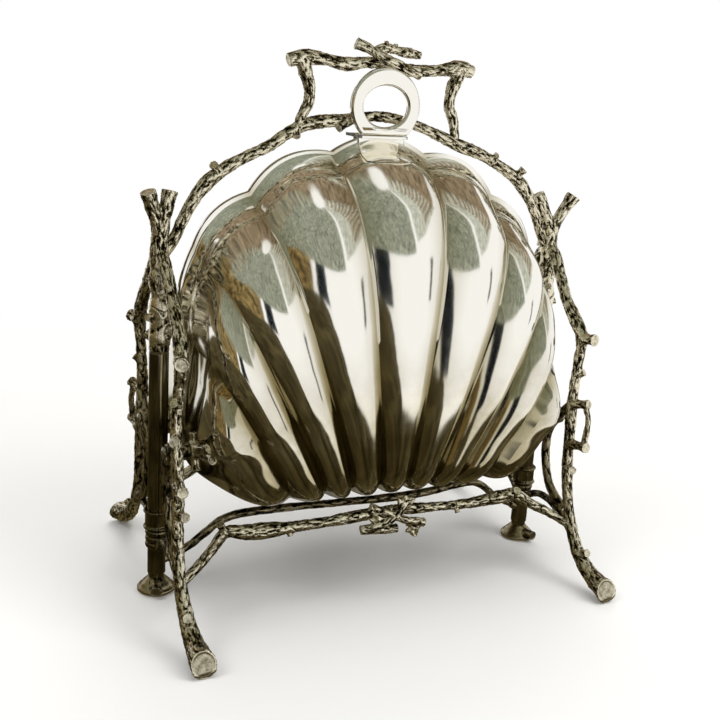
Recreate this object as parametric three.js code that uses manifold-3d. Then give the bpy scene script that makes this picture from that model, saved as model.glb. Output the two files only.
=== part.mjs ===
// Folding biscuit box: two fluted shell halves that swing open on a cast branch stand.
// Millimetres. X runs along the box, the front is -Y, +Z is up, the origin is on the table.

import * as THREE from 'three';
import { mergeVertices } from 'three/addons/utils/BufferGeometryUtils.js';
import Module from 'manifold-3d';

// Clearances
const seamGap = 0.3;            // between two pieces that touch
const turnGap = 0.35;           // around a pin that turns
const cutOverrun = 2;           // how far a cutter runs past what it cuts

// Posts
const postSpacing = 226;
const postRadius = 5;
const postNeckRadius = 4.2;
const postBeadRadius = 6;
const postBeadWidth = 3.4;
const postBeadBase = 25;
const postBeadCount = 3;
const plainTop = 131;           // the plain tube ends here and the bark crown begins
const footRadius = 10;
const footRimHeight = 2.6;
const footTop = 8;
const collarBase = 36;
const collarWidth = 10;
const collarThickness = 1.7;
const rootStubLength = 13;
const rootStubRadius = 2.5;

// Crowns, the forked branch tops of the posts
const crownTop = 210;
const crownRadius = 4.4;
const crownForkHeight = 193;
const crownArmRadius = 3.5;
const crownArmReach = 11;
const crownForkDrop = 5;
const forkRise = 94;            // where the legs spring from the crowns, above the pivot line

// Legs
const legReach = 89;
const legRadius = 3.4;
const soleHeight = 7;           // centre of the cut foot above the table
const legWiggle = 2;

// Struts and ties of the end frames
const strutRadius = 2.7;
const strutTopRise = 10;        // above the pivot line
const strutInnerWidth = 19;     // from the post line to the strut's nearest point
const tieRadius = 2.3;
const tiePostHeight = 22;
const tieRise = 12;             // of its hump above the line between its ends

// Arch between the posts, and the carrying handle on it
const archRadius = 3.1;
const archBow = 1.5;            // how far the middle is bowed back, clear of the ring
const archRise = 9;             // of its middle above the shells' rims
const gripRadius = 3.1;
const gripRise = 34;            // above the shells' rims
const gripHalfWidth = 44;
const gripRootRise = 5;
const twigRadius = 2.5;
const twigRise = 10;            // above the grip

// Rails
const railRadius = 2.9;
const railDrop = 38.5;          // the rails' straight part below the pivot line
const spineRadius = 2.4;
const spineHeight = 37.5;
const sprigRadius = 2.2;
const sprigHalfWidth = 19;

// Shell halves
const shellSideGap = 3;         // from the rim to the posts
const shellRise = 153;          // from the pivot line to the top of the rim
const shellWall = 1.3;
const shellParting = 0.5;       // half the gap between the two rims
const shellDepth = 54;
const fluteDepth = 6.5;
const flangeWidth = 5.5;
const shoulderWidth = 5;
const poleRise = 2;
const endRoundness = 3.2;       // exponent of the end lobes' rounding in depth
const heelRoundness = 5;        // and of their rounding at the bottom

// Pivots
const pivotHeight = 87;
const pivotOffset = 26;         // pivot line in front of the parting plane
const bottomRadius = 25.2;      // the shell's bottom, round the pivot line
const bossRadius = 4.6;
const bossLength = 6;
const lugRadius = 4.8;
const budRadius = 2.6;
const budReach = 18;
const pinRadius = 1.6;
const pinHeadRadius = 3;
const pinHeadHeight = 1.8;
const pinSocketDepth = 2.4;

// Lifting rings
const ringRadius = 19.2;
const ringHoleHalfWidth = 12.5;
const ringHoleHalfHeight = 10.2;
const ringThickness = 4.4;
const ringOffset = 4.8;         // ring centre in front of the parting plane
const ringBevel = 1;
const ringSlotHalfWidth = 12.6;
const ringSlotBase = 2.6;       // above the flat base
const ringSlotHeight = 1.5;
const ringDrop = 14.3;          // ring centre above its flat base
const strapHalfWidth = 12.8;
const strapThickness = 1.2;
const strapHeight = 12;
const thumbLipReach = 13;       // of the back strap's lip from the parting plane

// Pierced inner flaps
const flapThickness = 1;
const flapOffset = 5.4;         // flap centre in front of the parting plane
const flapMargin = 13;
const flapHoleLength = 16;
const flapHoleWidth = 7;
const flapFanAngle = 158;       // degrees
const flapKnobRadius = 3.4;
const flapKnobHeight = 3.4;
const knuckleRadius = 2.1;
const knuckleBore = 1.15;
const flapPinRadius = 0.8;
const flapHingeRise = 5;        // above the pivot line
const flapHingeGap = 3;         // from the hinge line to the flap's lower edge
const flapHingeHalfWidth = 62;
const flapLeafThickness = 0.9;

// Facet counts
const limbSides = 7;
const limbStep = 13;
const stubSides = 6;
const smallRodSides = 8;
const lineSamples = 240;
const latheSides = 12;
const flapHoleSides = 6;
const ringHoleSides = 18;
const ringOuterSides = 14;

// Shares, hand-picked along each piece
const stubFlareShare = 1.12;      // a cut twig end is a little wider than its root
const beadRoundShare = 0.25;      // of the bead's width, at each edge
const footDomeShares = [0.6, 0.5];
const rootSinkShare = 1.4;        // the root twig's depth below the foot's top, in its radii
const rootLeanShare = 0.25;
const collarLipShare = 0.5;
const legLineShares = [          // reach from the post, height
  [0, 1], [0.08, 0.975], [0.17, 0.92], [0.275, 0.857], [0.38, 0.806], [0.447, 0.757],
  [0.43, 0.685], [0.422, 0.60], [0.434, 0.535], [0.454, 0.458], [0.48, 0.38], [0.51, 0.30],
  [0.557, 0.226], [0.63, 0.155], [0.735, 0.091], [0.87, 0.052], [1.02, 0.032],
];
const leftWiggleShares = [
  0, 0.1, 0.5, 0.9, 0.6, 0.2, 0, -0.3, -0.5, -0.3, -0.4, -0.7, -1, -1, -0.7, -0.3, 0,
];
const rightWiggleShares = [
  0, 0.1, 0.5, 0.9, 0.6, 0, -0.5, -0.4, 0, 0.3, 0.8, 1, 1.1, 1.2, 1, 0.4, 0,
];
const legGirthShares = [
  1.05, 1, 0.95, 1, 1.15, 0.9, 0.85, 0.9, 1, 0.9, 0.95, 0.92, 0.95, 1, 1.15, 1.5, 2,
];
const legKnotShares = [          // height, heading x y z, reach and girth in leg radii
  [0.757, 0.25, -1, 0.1, 2.7, 0.95], [0.63, 0.5, -0.6, 0.5, 1.6, 0.6],
  [0.54, 0.35, -1, 0.25, 3.3, 0.75], [0.42, 0.1, -1, 0.15, 4.2, 0.78],
  [0.345, -0.25, -1, 0.1, 2.2, 0.7], [0.1, 0.2, -1, 0.5, 2, 0.66],
];
const loopTwigShares = [          // outwards, forwards and up in leg radii, from the knots it joins
  [0.8, 2.4, 0.6], [0.9, 3.6, -2], [0.4, 3.4, 0.6],
];
const loopGirthShares = [0.55, 0.55, 0.6];
const footCutShare = 6;           // half width of the foot's cutter, in leg radii
const footCutLean = 0.1;          // half turns
const crownOuterShares = [0.62, 1];          // reach of the outer arm on the left and on the right
const crownInnerShares = [0.45, 1];          // and of the inner arm
const crownTrunkShares = [0, 0.25, 0.5, 0.75, 1];
const crownLeanShare = 0.12;                 // sideways sway of the trunk, in its radii
const crownArmShares = [0.4, 0.6];           // reach half way up, and offset of the tip in arm radii
const crownArmGirthShares = [1.1, 0.95, 1.25];
const crownGirthShares = [1.12, 1.3, 1.15, 1.32, 1.05, 1.2, 0.95, 1.15, 1, 0.92];
const crownKnotShares = [        // height, heading x y z, reach and girth in crown radii
  [0.83, 0.1, -1, 0.25, 1.9, 0.68], [0.745, -0.35, -0.8, 0.3, 1.8, 0.45],
  [0.78, 0.4, 0.9, 0.2, 2, 0.55], [0.66, -0.6, -0.6, 0.3, 1.75, 0.5],
  [0.645, 0.5, 0.7, 0.35, 1.9, 0.55],
];
const archLineShares = [         // half spacing, rise from the pivot line to its top
  [-1, 0.559], [-0.938, 0.623], [-0.892, 0.693], [-0.83, 0.763], [-0.752, 0.815], [-0.64, 0.862],
  [-0.53, 0.898], [-0.44, 0.94], [-0.34, 0.971], [-0.16, 0.986], [0, 1], [0.18, 0.978],
  [0.32, 0.944], [0.427, 0.917], [0.53, 0.895], [0.64, 0.86], [0.752, 0.815], [0.83, 0.761],
  [0.892, 0.692], [0.938, 0.623], [1, 0.559],
];
const archGirthShares = [
  1, 0.95, 1, 1.25, 1, 0.95, 1, 1.15, 1.05, 0.9, 0.95, 0.9, 1, 1.2, 1, 1, 1.25, 1, 0.95, 1,
];
const archKnotShares = [         // half spacing, heading x y z, reach and girth in arch radii
  [-0.752, -0.6, -0.5, 0.7, 2.1, 0.7], [0.75, 0.55, -0.4, 0.8, 2.2, 0.75],
  [-0.12, -1, -0.35, -0.5, 3.6, 0.7], [0.6, 0.3, -0.7, 0.6, 1.7, 0.55],
  [-0.4, -0.2, -0.6, -0.8, 1.8, 0.6],
];
const gripRootShare = 1.02;
const gripLineShares = [         // half width, rise from the arch to the grip
  [0.97, 0.12], [0.9, 0.35], [0.91, 0.62], [1, 0.9],
];
const gripBarShares = [          // half width, lift in grip radii
  [-1.17, -0.1], [-0.99, 0.55], [-0.75, 0.45], [-0.45, -0.1], [-0.2, 0.35], [0.05, 0.2],
  [0.3, -0.4], [0.6, -0.35], [0.85, 0.1], [1, 0.4], [1.17, -0.1],
];
const gripBarGirthShares = [1.05, 1.35, 1, 1.15, 0.95, 1, 1.1, 1, 1, 1.35, 1.1];
const gripStemGirthShares = [0.85, 0.9, 0.95, 1, 1.25];
const twigLineShares = [         // half width, rise from the bar to the twig tip, offset in radii
  [-0.36, 1, -0.3], [-0.2, 0.75, -1], [-0.05, 0.42, -1.7], [0.12, 0.16, -1.9], [0.29, -0.15, -1.7],
  [0.46, -0.4, -1.3],
];
const twigSpurShares = [
  [-0.16, 0.62, -0.8], [0.02, 0.85, -0.3], [0.2, 0.75, -0.2], [0.36, 0.68, 0], [0.48, 0.62, 0.1],
];
const twigGirthShares = [1.25, 1, 1, 1.05, 1, 0.8];
const spurGirthShares = [0.9, 1.15, 0.85, 1.2, 0.8];
const twigBudReachShare = 1.7;
const twigBudGirthShare = 0.55;
const twigBudShares = [          // half width, rise, heading x y z
  [0.02, 0.8, -0.1, -0.5, 1], [0.16, 0.7, 0.2, 0.6, 1], [0.3, 0.6, 0.3, -0.7, 0.7],
  [0.36, 0.56, 0.2, 0.8, 0.4],
];
const railReachShare = 0.4944;    // of the legs' reach
const railEndShare = 0.63;        // height of the rail's ends, on the legs' own lines
const strutFootShare = 0.763;     // height of the strut's foot, of the rails' height
const tieLegShare = 0.557;        // height of the tie's end on the leg, of the rails' height
const railLineShares = [         // half spacing, height, reach, between the ends
  [-0.93, 0.71, 1.08], [-0.86, 0.85, 1.02], [-0.795, 1.02, 1], [-0.7, 0.99, 1],
  [-0.5, 0.98, 1], [-0.25, 1, 1.01], [0, 1.03, 1], [0.2, 1, 0.99], [0.42, 0.99, 1],
  [0.6, 1.02, 1], [0.68, 1.03, 1], [0.78, 0.89, 1.02], [0.88, 0.77, 1.07],
];
const railGirthShares = [0.85, 0.9, 1.05, 1.6, 1.05, 0.95, 1.2, 0.95, 1.1, 0.9, 1, 1.35, 1.1, 0.95, 0.85];
const railKnotShares = [         // half spacing, heading x y z, reach and girth in rail radii
  [-0.8, -0.5, -0.2, 1, 2.2, 0.75], [-0.5, 0.1, -0.6, -1, 1.6, 0.5],
  [0.35, 0.1, -0.7, -1, 1.6, 0.5], [0.68, -0.2, -0.8, 0.8, 2, 0.7],
];
const spineLineShares = [        // half spacing, height
  [-1, 0.42], [-0.86, 0.58], [-0.77, 0.77], [-0.67, 0.96], [-0.5, 1.01], [-0.08, 0.98],
  [0.32, 0.96], [0.64, 1.05], [0.73, 0.99], [0.83, 0.76], [0.93, 0.6], [1, 0.46],
];
const spineGirthShares = [1.1, 0.95, 1, 1.1, 0.95, 0.95, 1, 1.15, 1, 0.95, 0.95, 1.1];
const strutLineShares = [        // reach between the belly and the leg, height from foot to top
  [1, 1.02], [0.74, 0.94], [0.37, 0.83], [0.06, 0.68], [0, 0.5], [0.1, 0.31], [0.42, 0.12], [1.1, -0.02],
];
const strutGirthShares = [1, 1.05, 1.25, 1, 0.95, 0.95, 1, 1.15];
const tieLineShares = [          // reach from the post to the leg, lift in its rise
  [0, 0], [0.16, 0.66], [0.34, 0.98], [0.55, 0.94], [0.78, 0.56], [1, 0],
];
const tieGirthShares = [1.1, 0.95, 0.95, 1, 1, 1.15];
const sprigTwigShares = [        // half width, lift and depth in sprig radii, one list for each twig
  [[-0.72, 2.9, -1.6], [-0.25, 1.3, -2.6], [0.3, -0.9, -2.9], [0.95, -2.6, -2.2]],
  [[0.35, 2.7, -1.4], [0.05, 0.6, -2.9], [-0.35, -1.4, -2.9], [-1, -2.4, -2.3]],
  [[-0.98, -2.5, -2.4], [-0.4, -2.9, -2.7], [0.1, -3, -2.4]],
];
const sprigTwigGirthShares = [1.1, 0.95, 1, 1.15];
const sprigLeafShares = [        // half width, lift and depth in sprig radii, turn in half turns
  [-0.45, 1.9, -2.4, 0.2], [0.12, 2.2, -2.2, -0.12], [0.55, -1.3, -2.9, 0.42], [-0.62, -1.3, -2.9, -0.35],
];
const sprigLeafLengthShare = 0.55;
const sprigLeafThicknessShare = 0.5;
const leafOutlineShares = [      // length, half width
  [0, 0.12], [0.2, 0.42], [0.34, 0.3], [0.52, 0.5], [0.66, 0.28], [0.82, 0.26], [1, 0.03],
];
const cuspShares = [             // half width and rise of the rim at each groove, centre outwards
  [0.248, 0.941], [0.660, 0.806], [0.925, 0.630], [0.984, 0.370],
];
const hingeShares = [0.095, 0.286, 0.467, 0.667];
const poleShare = 0.972;
const rimSwellShares = [0.165, 0.165, 0.135, 0.08, 0.035];
const lobeColumnShares = [0, 0.2, 0.5, 0.8];
const endColumnShares = [0, 0.25, 0.5, 0.72, 0.86, 0.94];
const shellRowShares = [         // along the section, hinge edge to rim
  0, 0.08, 0.16, 0.24, 0.32, 0.4, 0.48, 0.56, 0.64, 0.72, 0.79, 0.86, 0.92, 1,
];
const bottomShares = [           // drop below the hinge edge, reach from it, both in bottom radii
  [0, 0], [0.38, 0.075], [0.71, 0.30], [0.93, 0.64], [1, 1],
];
const cheekShares = [            // drop in bottom radii, reach from the bottom to the full depth
  [1.04, 0.36], [1.05, 0.68], [0.72, 0.92], [0.15, 1],
];
const domeShares = [             // chord, depth
  [0.2, 1.02], [0.38, 1], [0.54, 0.965], [0.68, 0.89], [0.79, 0.77], [0.87, 0.62],
];
const shoulderShares = [         // distance from the flange in shoulder widths, depth
  [1.25, 0.32], [0.72, 0.2], [0.42, 0.11],
];
const flangeShares = [[1, 0.055], [0.5, 0.012]];
const bottomFluteShare = 0.3;    // how much of the fluting is left on the bottom
const steepestLeanShare = 0.3;
const flangeFadeShare = 0.33;    // chords shorter than this share of the rise get a narrower flange
const lugRootShare = 0.78;
const lugBudShares = [            // heading x y z, reach
  [-0.19, -1, 0.42, 1], [-0.27, -1, 0.05, 0.95], [0, -0.3, -1, 0.55], [0, 0.2, 1, 0.5],
];
const flapHoleShares = [         // reach, count, length and width
  [0.28, 4, 0.55, 0.9], [0.46, 5, 0.85, 1.1], [0.66, 7, 1, 1.15], [0.86, 9, 0.9, 1.4],
];
const flapKnobShares = [          // knob radius, knob height
  [0, 0], [0.44, 0], [0.44, 0.35], [1, 0.6], [1, 0.8], [0.55, 1], [0, 1],
];
const flapKnuckleShares = [[-0.56, -0.24], [0.24, 0.56]];
const leafKnuckleShares = [[-0.98, -0.6], [-0.2, 0.2], [0.6, 0.98]];

const halfSpacing = postSpacing / 2;
const ringBase = pivotHeight + shellRise;
const archTop = ringBase + archRise;
const gripRootHeight = ringBase + gripRootRise;
const gripHeight = ringBase + gripRise;
const twigTop = gripHeight + twigRise;
const forkHeight = pivotHeight + forkRise;
const strutTop = pivotHeight + strutTopRise;
const railHeight = pivotHeight - railDrop;
const railReach = railReachShare * legReach;
const strutFootHeight = strutFootShare * railHeight;
const tieLegHeight = tieLegShare * railHeight;
const flapHingeHeight = pivotHeight + flapHingeRise;
const flapBase = flapHingeHeight + flapHingeGap;
const shellHalfWidth = halfSpacing - postRadius - shellSideGap;
const halfTurn = Math.PI;
const weldDistance = 1e-4;

const wasm = await Module();
wasm.setup();

// Closed meshes to solids and back

function solidFrom(geometry) {
  const bare = geometry.clone();
  bare.deleteAttribute('normal');
  bare.deleteAttribute('uv');
  const welded = mergeVertices(bare, weldDistance);
  const corners = [];
  for (let first = 0; first < welded.index.count; first += 3) {
    const face = [0, 1, 2].map((step) => welded.index.getX(first + step));
    if (new Set(face).size === 3) {
      corners.push(...face);
    }
  }
  return new wasm.Manifold(new wasm.Mesh({
    numProp: 3,
    vertProperties: Float32Array.from(welded.attributes.position.array),
    triVerts: Uint32Array.from(corners),
  }));
}

function geometryFrom(solid) {
  const mesh = solid.getMesh();
  const geometry = new THREE.BufferGeometry();
  geometry.setAttribute('position', new THREE.BufferAttribute(mesh.vertProperties, 3));
  geometry.setIndex(new THREE.BufferAttribute(mesh.triVerts, 1));
  geometry.computeVertexNormals();
  return geometry;
}

function joined(solids) {
  return solids.reduce((whole, piece) => whole.add(piece));
}

function trimmed(solid, cutters) {
  return cutters.reduce((rest, cutter) => rest.subtract(cutter), solid);
}

// Round branch work

function shareAt(shares, along) {
  const place = along * (shares.length - 1);
  const low = Math.min(Math.floor(place), shares.length - 2);
  return THREE.MathUtils.lerp(shares[low], shares[low + 1], place - low);
}

function curveThrough(line) {
  return new THREE.CatmullRomCurve3(line, false, 'centripetal');
}

function limb(line, radius, girthShares, grow = 0) {
  const path = curveThrough(line);
  const steps = Math.max(girthShares.length - 1, Math.round(path.getLength() / limbStep));
  const outline = [];
  for (let corner = 0; corner < limbSides; corner += 1) {
    const turn = (2 * halfTurn * corner) / limbSides;
    outline.push(new THREE.Vector2(radius * Math.cos(turn), radius * Math.sin(turn)));
  }
  const shape = new THREE.Shape(outline);
  const geometry = new THREE.ExtrudeGeometry(shape, { steps, bevelEnabled: false, extrudePath: path });
  const centres = path.getSpacedPoints(steps);
  const corner = new THREE.Vector3();
  for (let index = 0; index < geometry.attributes.position.count; index += 1) {
    corner.fromBufferAttribute(geometry.attributes.position, index);
    const distances = centres.map((centre) => centre.distanceTo(corner));
    const step = distances.indexOf(Math.min(...distances));
    const girth = radius * shareAt(girthShares, step / steps) + grow;
    corner.sub(centres[step]).multiplyScalar(girth / radius).add(centres[step]);
    geometry.attributes.position.setXYZ(index, corner.x, corner.y, corner.z);
  }
  return solidFrom(geometry);
}

function stub(root, heading, reach, radius, grow = 0) {
  const length = reach + grow;
  const tip = radius * stubFlareShare + grow;
  const geometry = new THREE.CylinderGeometry(tip, radius + grow, length, stubSides);
  geometry.translate(0, length / 2, 0);
  const turn = new THREE.Quaternion();
  turn.setFromUnitVectors(new THREE.Vector3(0, 1, 0), heading.clone().normalize());
  geometry.applyQuaternion(turn);
  geometry.translate(root.x, root.y, root.z);
  return solidFrom(geometry);
}

function pointWhere(line, axis, value) {
  const points = curveThrough(line).getPoints(lineSamples);
  const misses = points.map((point) => Math.abs(point[axis] - value));
  return points[misses.indexOf(Math.min(...misses))];
}

function turned(profile) {
  const points = profile.map(([radius, height]) => new THREE.Vector2(radius, height));
  const geometry = new THREE.LatheGeometry(points, latheSides);
  geometry.rotateX(halfTurn / 2);
  return geometry;
}

function oval(centre, halfLength, halfWidth, turn, sides) {
  const points = [];
  for (let corner = 0; corner < sides; corner += 1) {
    const angle = (-2 * halfTurn * corner) / sides;
    const point = new THREE.Vector2(halfLength * Math.cos(angle), halfWidth * Math.sin(angle));
    points.push(point.rotateAround(new THREE.Vector2(), turn).add(centre));
  }
  return points;
}

function rod(radius, from, to, sides = latheSides) {
  const heading = to.clone().sub(from);
  const geometry = new THREE.CylinderGeometry(radius, radius, heading.length(), sides);
  geometry.translate(0, heading.length() / 2, 0);
  const turn = new THREE.Quaternion();
  turn.setFromUnitVectors(new THREE.Vector3(0, 1, 0), heading.normalize());
  geometry.applyQuaternion(turn);
  geometry.translate(from.x, from.y, from.z);
  return solidFrom(geometry);
}

function block(low, high) {
  const size = high.clone().sub(low);
  const geometry = new THREE.BoxGeometry(size.x, size.y, size.z);
  geometry.translate((low.x + high.x) / 2, (low.y + high.y) / 2, (low.z + high.z) / 2);
  return solidFrom(geometry);
}

// Posts, feet and collars; side is -1 on the left and 1 on the right

function postSolid(side, grow = 0) {
  const beadGap = postBeadWidth * beadRoundShare;
  const profile = [[0, footTop + seamGap - grow], [postNeckRadius + grow, footTop + seamGap - grow]];
  for (let bead = 0; bead < postBeadCount; bead += 1) {
    const base = postBeadBase + bead * postBeadWidth;
    profile.push([postNeckRadius + grow, base]);
    profile.push([postBeadRadius + grow, base + beadGap]);
    profile.push([postBeadRadius + grow, base + postBeadWidth - beadGap]);
  }
  const tubeBase = postBeadBase + postBeadCount * postBeadWidth;
  profile.push([postRadius + grow, tubeBase]);
  profile.push([postRadius + grow, plainTop - seamGap]);
  profile.push([0, plainTop - seamGap]);
  return solidFrom(turned(profile)).translate([side * halfSpacing, 0, 0]);
}

function footSolid(side, grow = 0) {
  const dome = (footTop - footRimHeight) / 2;
  const profile = [
    [0, 0],
    [footRadius + grow, 0],
    [footRadius + grow, footRimHeight + grow],
    [footRadius - dome + grow, footRimHeight + dome * footDomeShares[0] + grow],
    [postRadius + grow, footTop - dome * footDomeShares[1]],
    [postNeckRadius + grow, footTop],
    [0, footTop],
  ];
  const disc = solidFrom(turned(profile)).translate([side * halfSpacing, 0, 0]);
  const root = new THREE.Vector3(side * halfSpacing, 0, footTop - rootStubRadius * rootSinkShare);
  const heading = new THREE.Vector3(side * rootLeanShare, -1, 0);
  return disc.add(stub(root, heading, rootStubLength, rootStubRadius, grow));
}

function collarGeometry(side) {
  const inner = postRadius + seamGap;
  const outer = inner + collarThickness;
  const lip = collarThickness * collarLipShare;
  const profile = [
    [inner, collarBase],
    [outer, collarBase],
    [outer, collarBase + lip],
    [outer - lip, collarBase + 2 * lip],
    [outer - lip, collarBase + collarWidth - 2 * lip],
    [outer, collarBase + collarWidth - lip],
    [outer, collarBase + collarWidth],
    [inner, collarBase + collarWidth],
    [inner, collarBase],
  ];
  return geometryFrom(solidFrom(turned(profile)).translate([side * halfSpacing, 0, 0]));
}

function crownSolid(side, grow = 0) {
  const axis = side * halfSpacing;
  const hand = side < 0 ? 0 : 1;
  const trunkLine = [];
  for (const share of crownTrunkShares) {
    const lean = Math.sin(share * 2 * halfTurn) * crownRadius * crownLeanShare;
    const height = THREE.MathUtils.lerp(plainTop, crownForkHeight, share);
    trunkLine.push(new THREE.Vector3(axis + lean, 0, height));
  }
  const pieces = [limb(trunkLine, crownRadius, crownGirthShares, grow)];
  const [elbowShare, tipShare] = crownArmShares;
  for (const arm of [-1, 1]) {
    const armShares = arm === side ? crownOuterShares : crownInnerShares;
    const reach = crownArmReach * armShares[hand];
    const line = [
      new THREE.Vector3(axis, 0, crownForkHeight - crownForkDrop),
      new THREE.Vector3(axis + arm * reach * elbowShare, 0, crownForkHeight + crownForkDrop),
      new THREE.Vector3(axis + arm * reach, -arm * side * crownArmRadius * tipShare, crownTop),
    ];
    pieces.push(limb(line, crownArmRadius, crownArmGirthShares, grow));
  }
  for (const [heightShare, x, y, z, lengthShare, girth] of crownKnotShares) {
    const root = new THREE.Vector3(axis, 0, heightShare * crownTop);
    const heading = new THREE.Vector3(side * x, y, z);
    pieces.push(stub(root, heading, lengthShare * crownRadius, girth * crownRadius, grow));
  }
  return joined(pieces);
}

// Legs, struts and ties of the end frames; face is -1 in front and 1 behind

function legLine(side, face) {
  const wiggleShares = side < 0 ? leftWiggleShares : rightWiggleShares;
  return legLineShares.map(([reach, height], index) => {
    const sway = side * face * legWiggle * wiggleShares[index];
    const rise = Math.max(height * forkHeight, soleHeight);
    return new THREE.Vector3(side * halfSpacing + sway, face * reach * legReach, rise);
  });
}

function legSolid(side, face, grow = 0) {
  const line = legLine(side, face);
  const pieces = [limb(line, legRadius, legGirthShares, grow)];
  for (const [heightShare, x, y, z, reach, girth] of legKnotShares) {
    const root = pointWhere(line, 'z', heightShare * forkHeight);
    const heading = new THREE.Vector3(side * x, -face * y, z);
    pieces.push(stub(root, heading, reach * legRadius, girth * legRadius, grow));
  }
  const upper = pointWhere(line, 'z', legKnotShares[2][0] * forkHeight);
  const lower = pointWhere(line, 'z', legKnotShares[3][0] * forkHeight);
  const roots = [upper, upper, lower];
  const loopLine = loopTwigShares.map(([out, forward, up], index) => roots[index].clone().add(
    new THREE.Vector3(side * out * legRadius, face * forward * legRadius, up * legRadius),
  ));
  pieces.push(limb(loopLine, legRadius, loopGirthShares, grow));
  return joined(pieces);
}

function footCutter(side, face) {
  const reach = footCutShare * legRadius;
  const geometry = new THREE.BoxGeometry(2 * reach, 2 * reach, 4 * reach);
  geometry.translate(0, face * reach, 0);
  geometry.rotateX(face * halfTurn * footCutLean);
  geometry.translate(side * halfSpacing, face * legReach, soleHeight);
  return solidFrom(geometry);
}

function floorCutter() {
  const far = postSpacing;
  return block(new THREE.Vector3(-far, -far, -far), new THREE.Vector3(far, far, 0));
}

function strutLine(side, face) {
  const leg = legLine(side, face);
  const legTop = pointWhere(leg, 'z', strutTop);
  const reach = Math.abs(legTop.y) - strutInnerWidth;
  return strutLineShares.map(([reachShare, heightShare]) => new THREE.Vector3(
    side * halfSpacing,
    face * (strutInnerWidth + reachShare * reach),
    THREE.MathUtils.lerp(strutFootHeight, strutTop, heightShare),
  ));
}

function strutSolid(side, face, grow = 0) {
  const axis = pivotPoint(side, face);
  const inner = side * (halfSpacing - strutRadius - bossLength);
  const outer = side * (halfSpacing + strutRadius);
  const boss = rod(
    bossRadius + grow,
    new THREE.Vector3(inner - side * grow, axis.y, axis.z),
    new THREE.Vector3(outer + side * grow, axis.y, axis.z),
  );
  return limb(strutLine(side, face), strutRadius, strutGirthShares, grow).add(boss);
}

function tieSolid(side, face, grow = 0) {
  const end = pointWhere(legLine(side, face), 'z', tieLegHeight);
  const root = new THREE.Vector3(side * halfSpacing, 0, tiePostHeight);
  const line = tieLineShares.map(([reach, lift]) => {
    const hump = new THREE.Vector3(0, 0, lift * tieRise);
    return root.clone().lerp(end, reach).add(hump);
  });
  return limb(line, tieRadius, tieGirthShares, grow);
}

// Arch, carrying handle and its twig

function bowAt(x) {
  return archBow * Math.max(0, 1 - (x / (2 * ringRadius)) ** 2);
}

function archPoints() {
  return archLineShares.map(([along, rise]) => new THREE.Vector3(
    along * halfSpacing,
    bowAt(along * halfSpacing),
    THREE.MathUtils.lerp(pivotHeight, archTop, rise),
  ));
}

function archSolid(grow = 0) {
  const line = archPoints();
  const pieces = [limb(line, archRadius, archGirthShares, grow)];
  for (const [along, x, y, z, reach, girth] of archKnotShares) {
    const root = pointWhere(line, 'x', along * halfSpacing);
    const heading = new THREE.Vector3(x, y, z);
    pieces.push(stub(root, heading, reach * archRadius, girth * archRadius, grow));
  }
  return joined(pieces);
}

function gripSolid(grow = 0) {
  const pieces = [];
  for (const side of [-1, 1]) {
    const root = pointWhere(archPoints(), 'x', side * gripRootShare * gripHalfWidth);
    const stem = gripLineShares.map(([along, rise]) => new THREE.Vector3(
      side * along * gripHalfWidth,
      0,
      THREE.MathUtils.lerp(gripRootHeight, gripHeight, rise),
    ));
    pieces.push(limb([root, ...stem], gripRadius, gripStemGirthShares, grow));
  }
  const bar = gripBarShares.map(([along, lift]) => new THREE.Vector3(
    along * gripHalfWidth,
    bowAt(along * gripHalfWidth),
    gripHeight + lift * gripRadius,
  ));
  pieces.push(limb(bar, gripRadius, gripBarGirthShares, grow));
  return joined(pieces);
}

function twigPoint([along, rise, offset]) {
  return new THREE.Vector3(
    along * gripHalfWidth,
    archBow + offset * twigRadius,
    THREE.MathUtils.lerp(gripHeight, twigTop, rise),
  );
}

function twigSolid() {
  const pieces = [
    limb(twigLineShares.map(twigPoint), twigRadius, twigGirthShares),
    limb(twigSpurShares.map(twigPoint), twigRadius, spurGirthShares),
  ];
  for (const [along, rise, x, y, z] of twigBudShares) {
    const root = twigPoint([along, rise, 0]);
    const heading = new THREE.Vector3(x, y, z);
    pieces.push(stub(root, heading, twigRadius * twigBudReachShare, twigRadius * twigBudGirthShare));
  }
  return joined(pieces);
}

// Rails between the end frames

function railLine(face) {
  const middle = railLineShares.map(([along, height, reach]) => new THREE.Vector3(
    -face * along * halfSpacing,
    face * reach * railReach,
    height * railHeight,
  ));
  const endHeight = railEndShare * railHeight;
  const [start, end] = [face, -face].map((side) => pointWhere(legLine(side, face), 'z', endHeight));
  return [start, ...middle, end];
}

function railSolid(face, grow = 0) {
  const line = railLine(face);
  const pieces = [limb(line, railRadius, railGirthShares, grow)];
  for (const [along, x, y, z, reach, girth] of railKnotShares) {
    const root = pointWhere(line, 'x', -face * along * halfSpacing);
    const heading = new THREE.Vector3(-face * x, -face * y, z);
    pieces.push(stub(root, heading, reach * railRadius, girth * railRadius, grow));
  }
  return joined(pieces);
}

function spineSolid(grow = 0) {
  const line = spineLineShares.map(([along, height]) => new THREE.Vector3(
    along * halfSpacing,
    0,
    height * spineHeight,
  ));
  return limb(line, spineRadius, spineGirthShares, grow);
}

function leafSolid(length, thickness) {
  const outline = [];
  for (const [along, half] of leafOutlineShares) {
    outline.push(new THREE.Vector2(along * length, half * length));
  }
  for (const [along, half] of [...leafOutlineShares].reverse()) {
    outline.push(new THREE.Vector2(along * length, -half * length));
  }
  const shape = new THREE.Shape(outline);
  const geometry = new THREE.ExtrudeGeometry(shape, { depth: thickness, bevelEnabled: false });
  geometry.rotateX(halfTurn / 2);
  return geometry;
}

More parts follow.
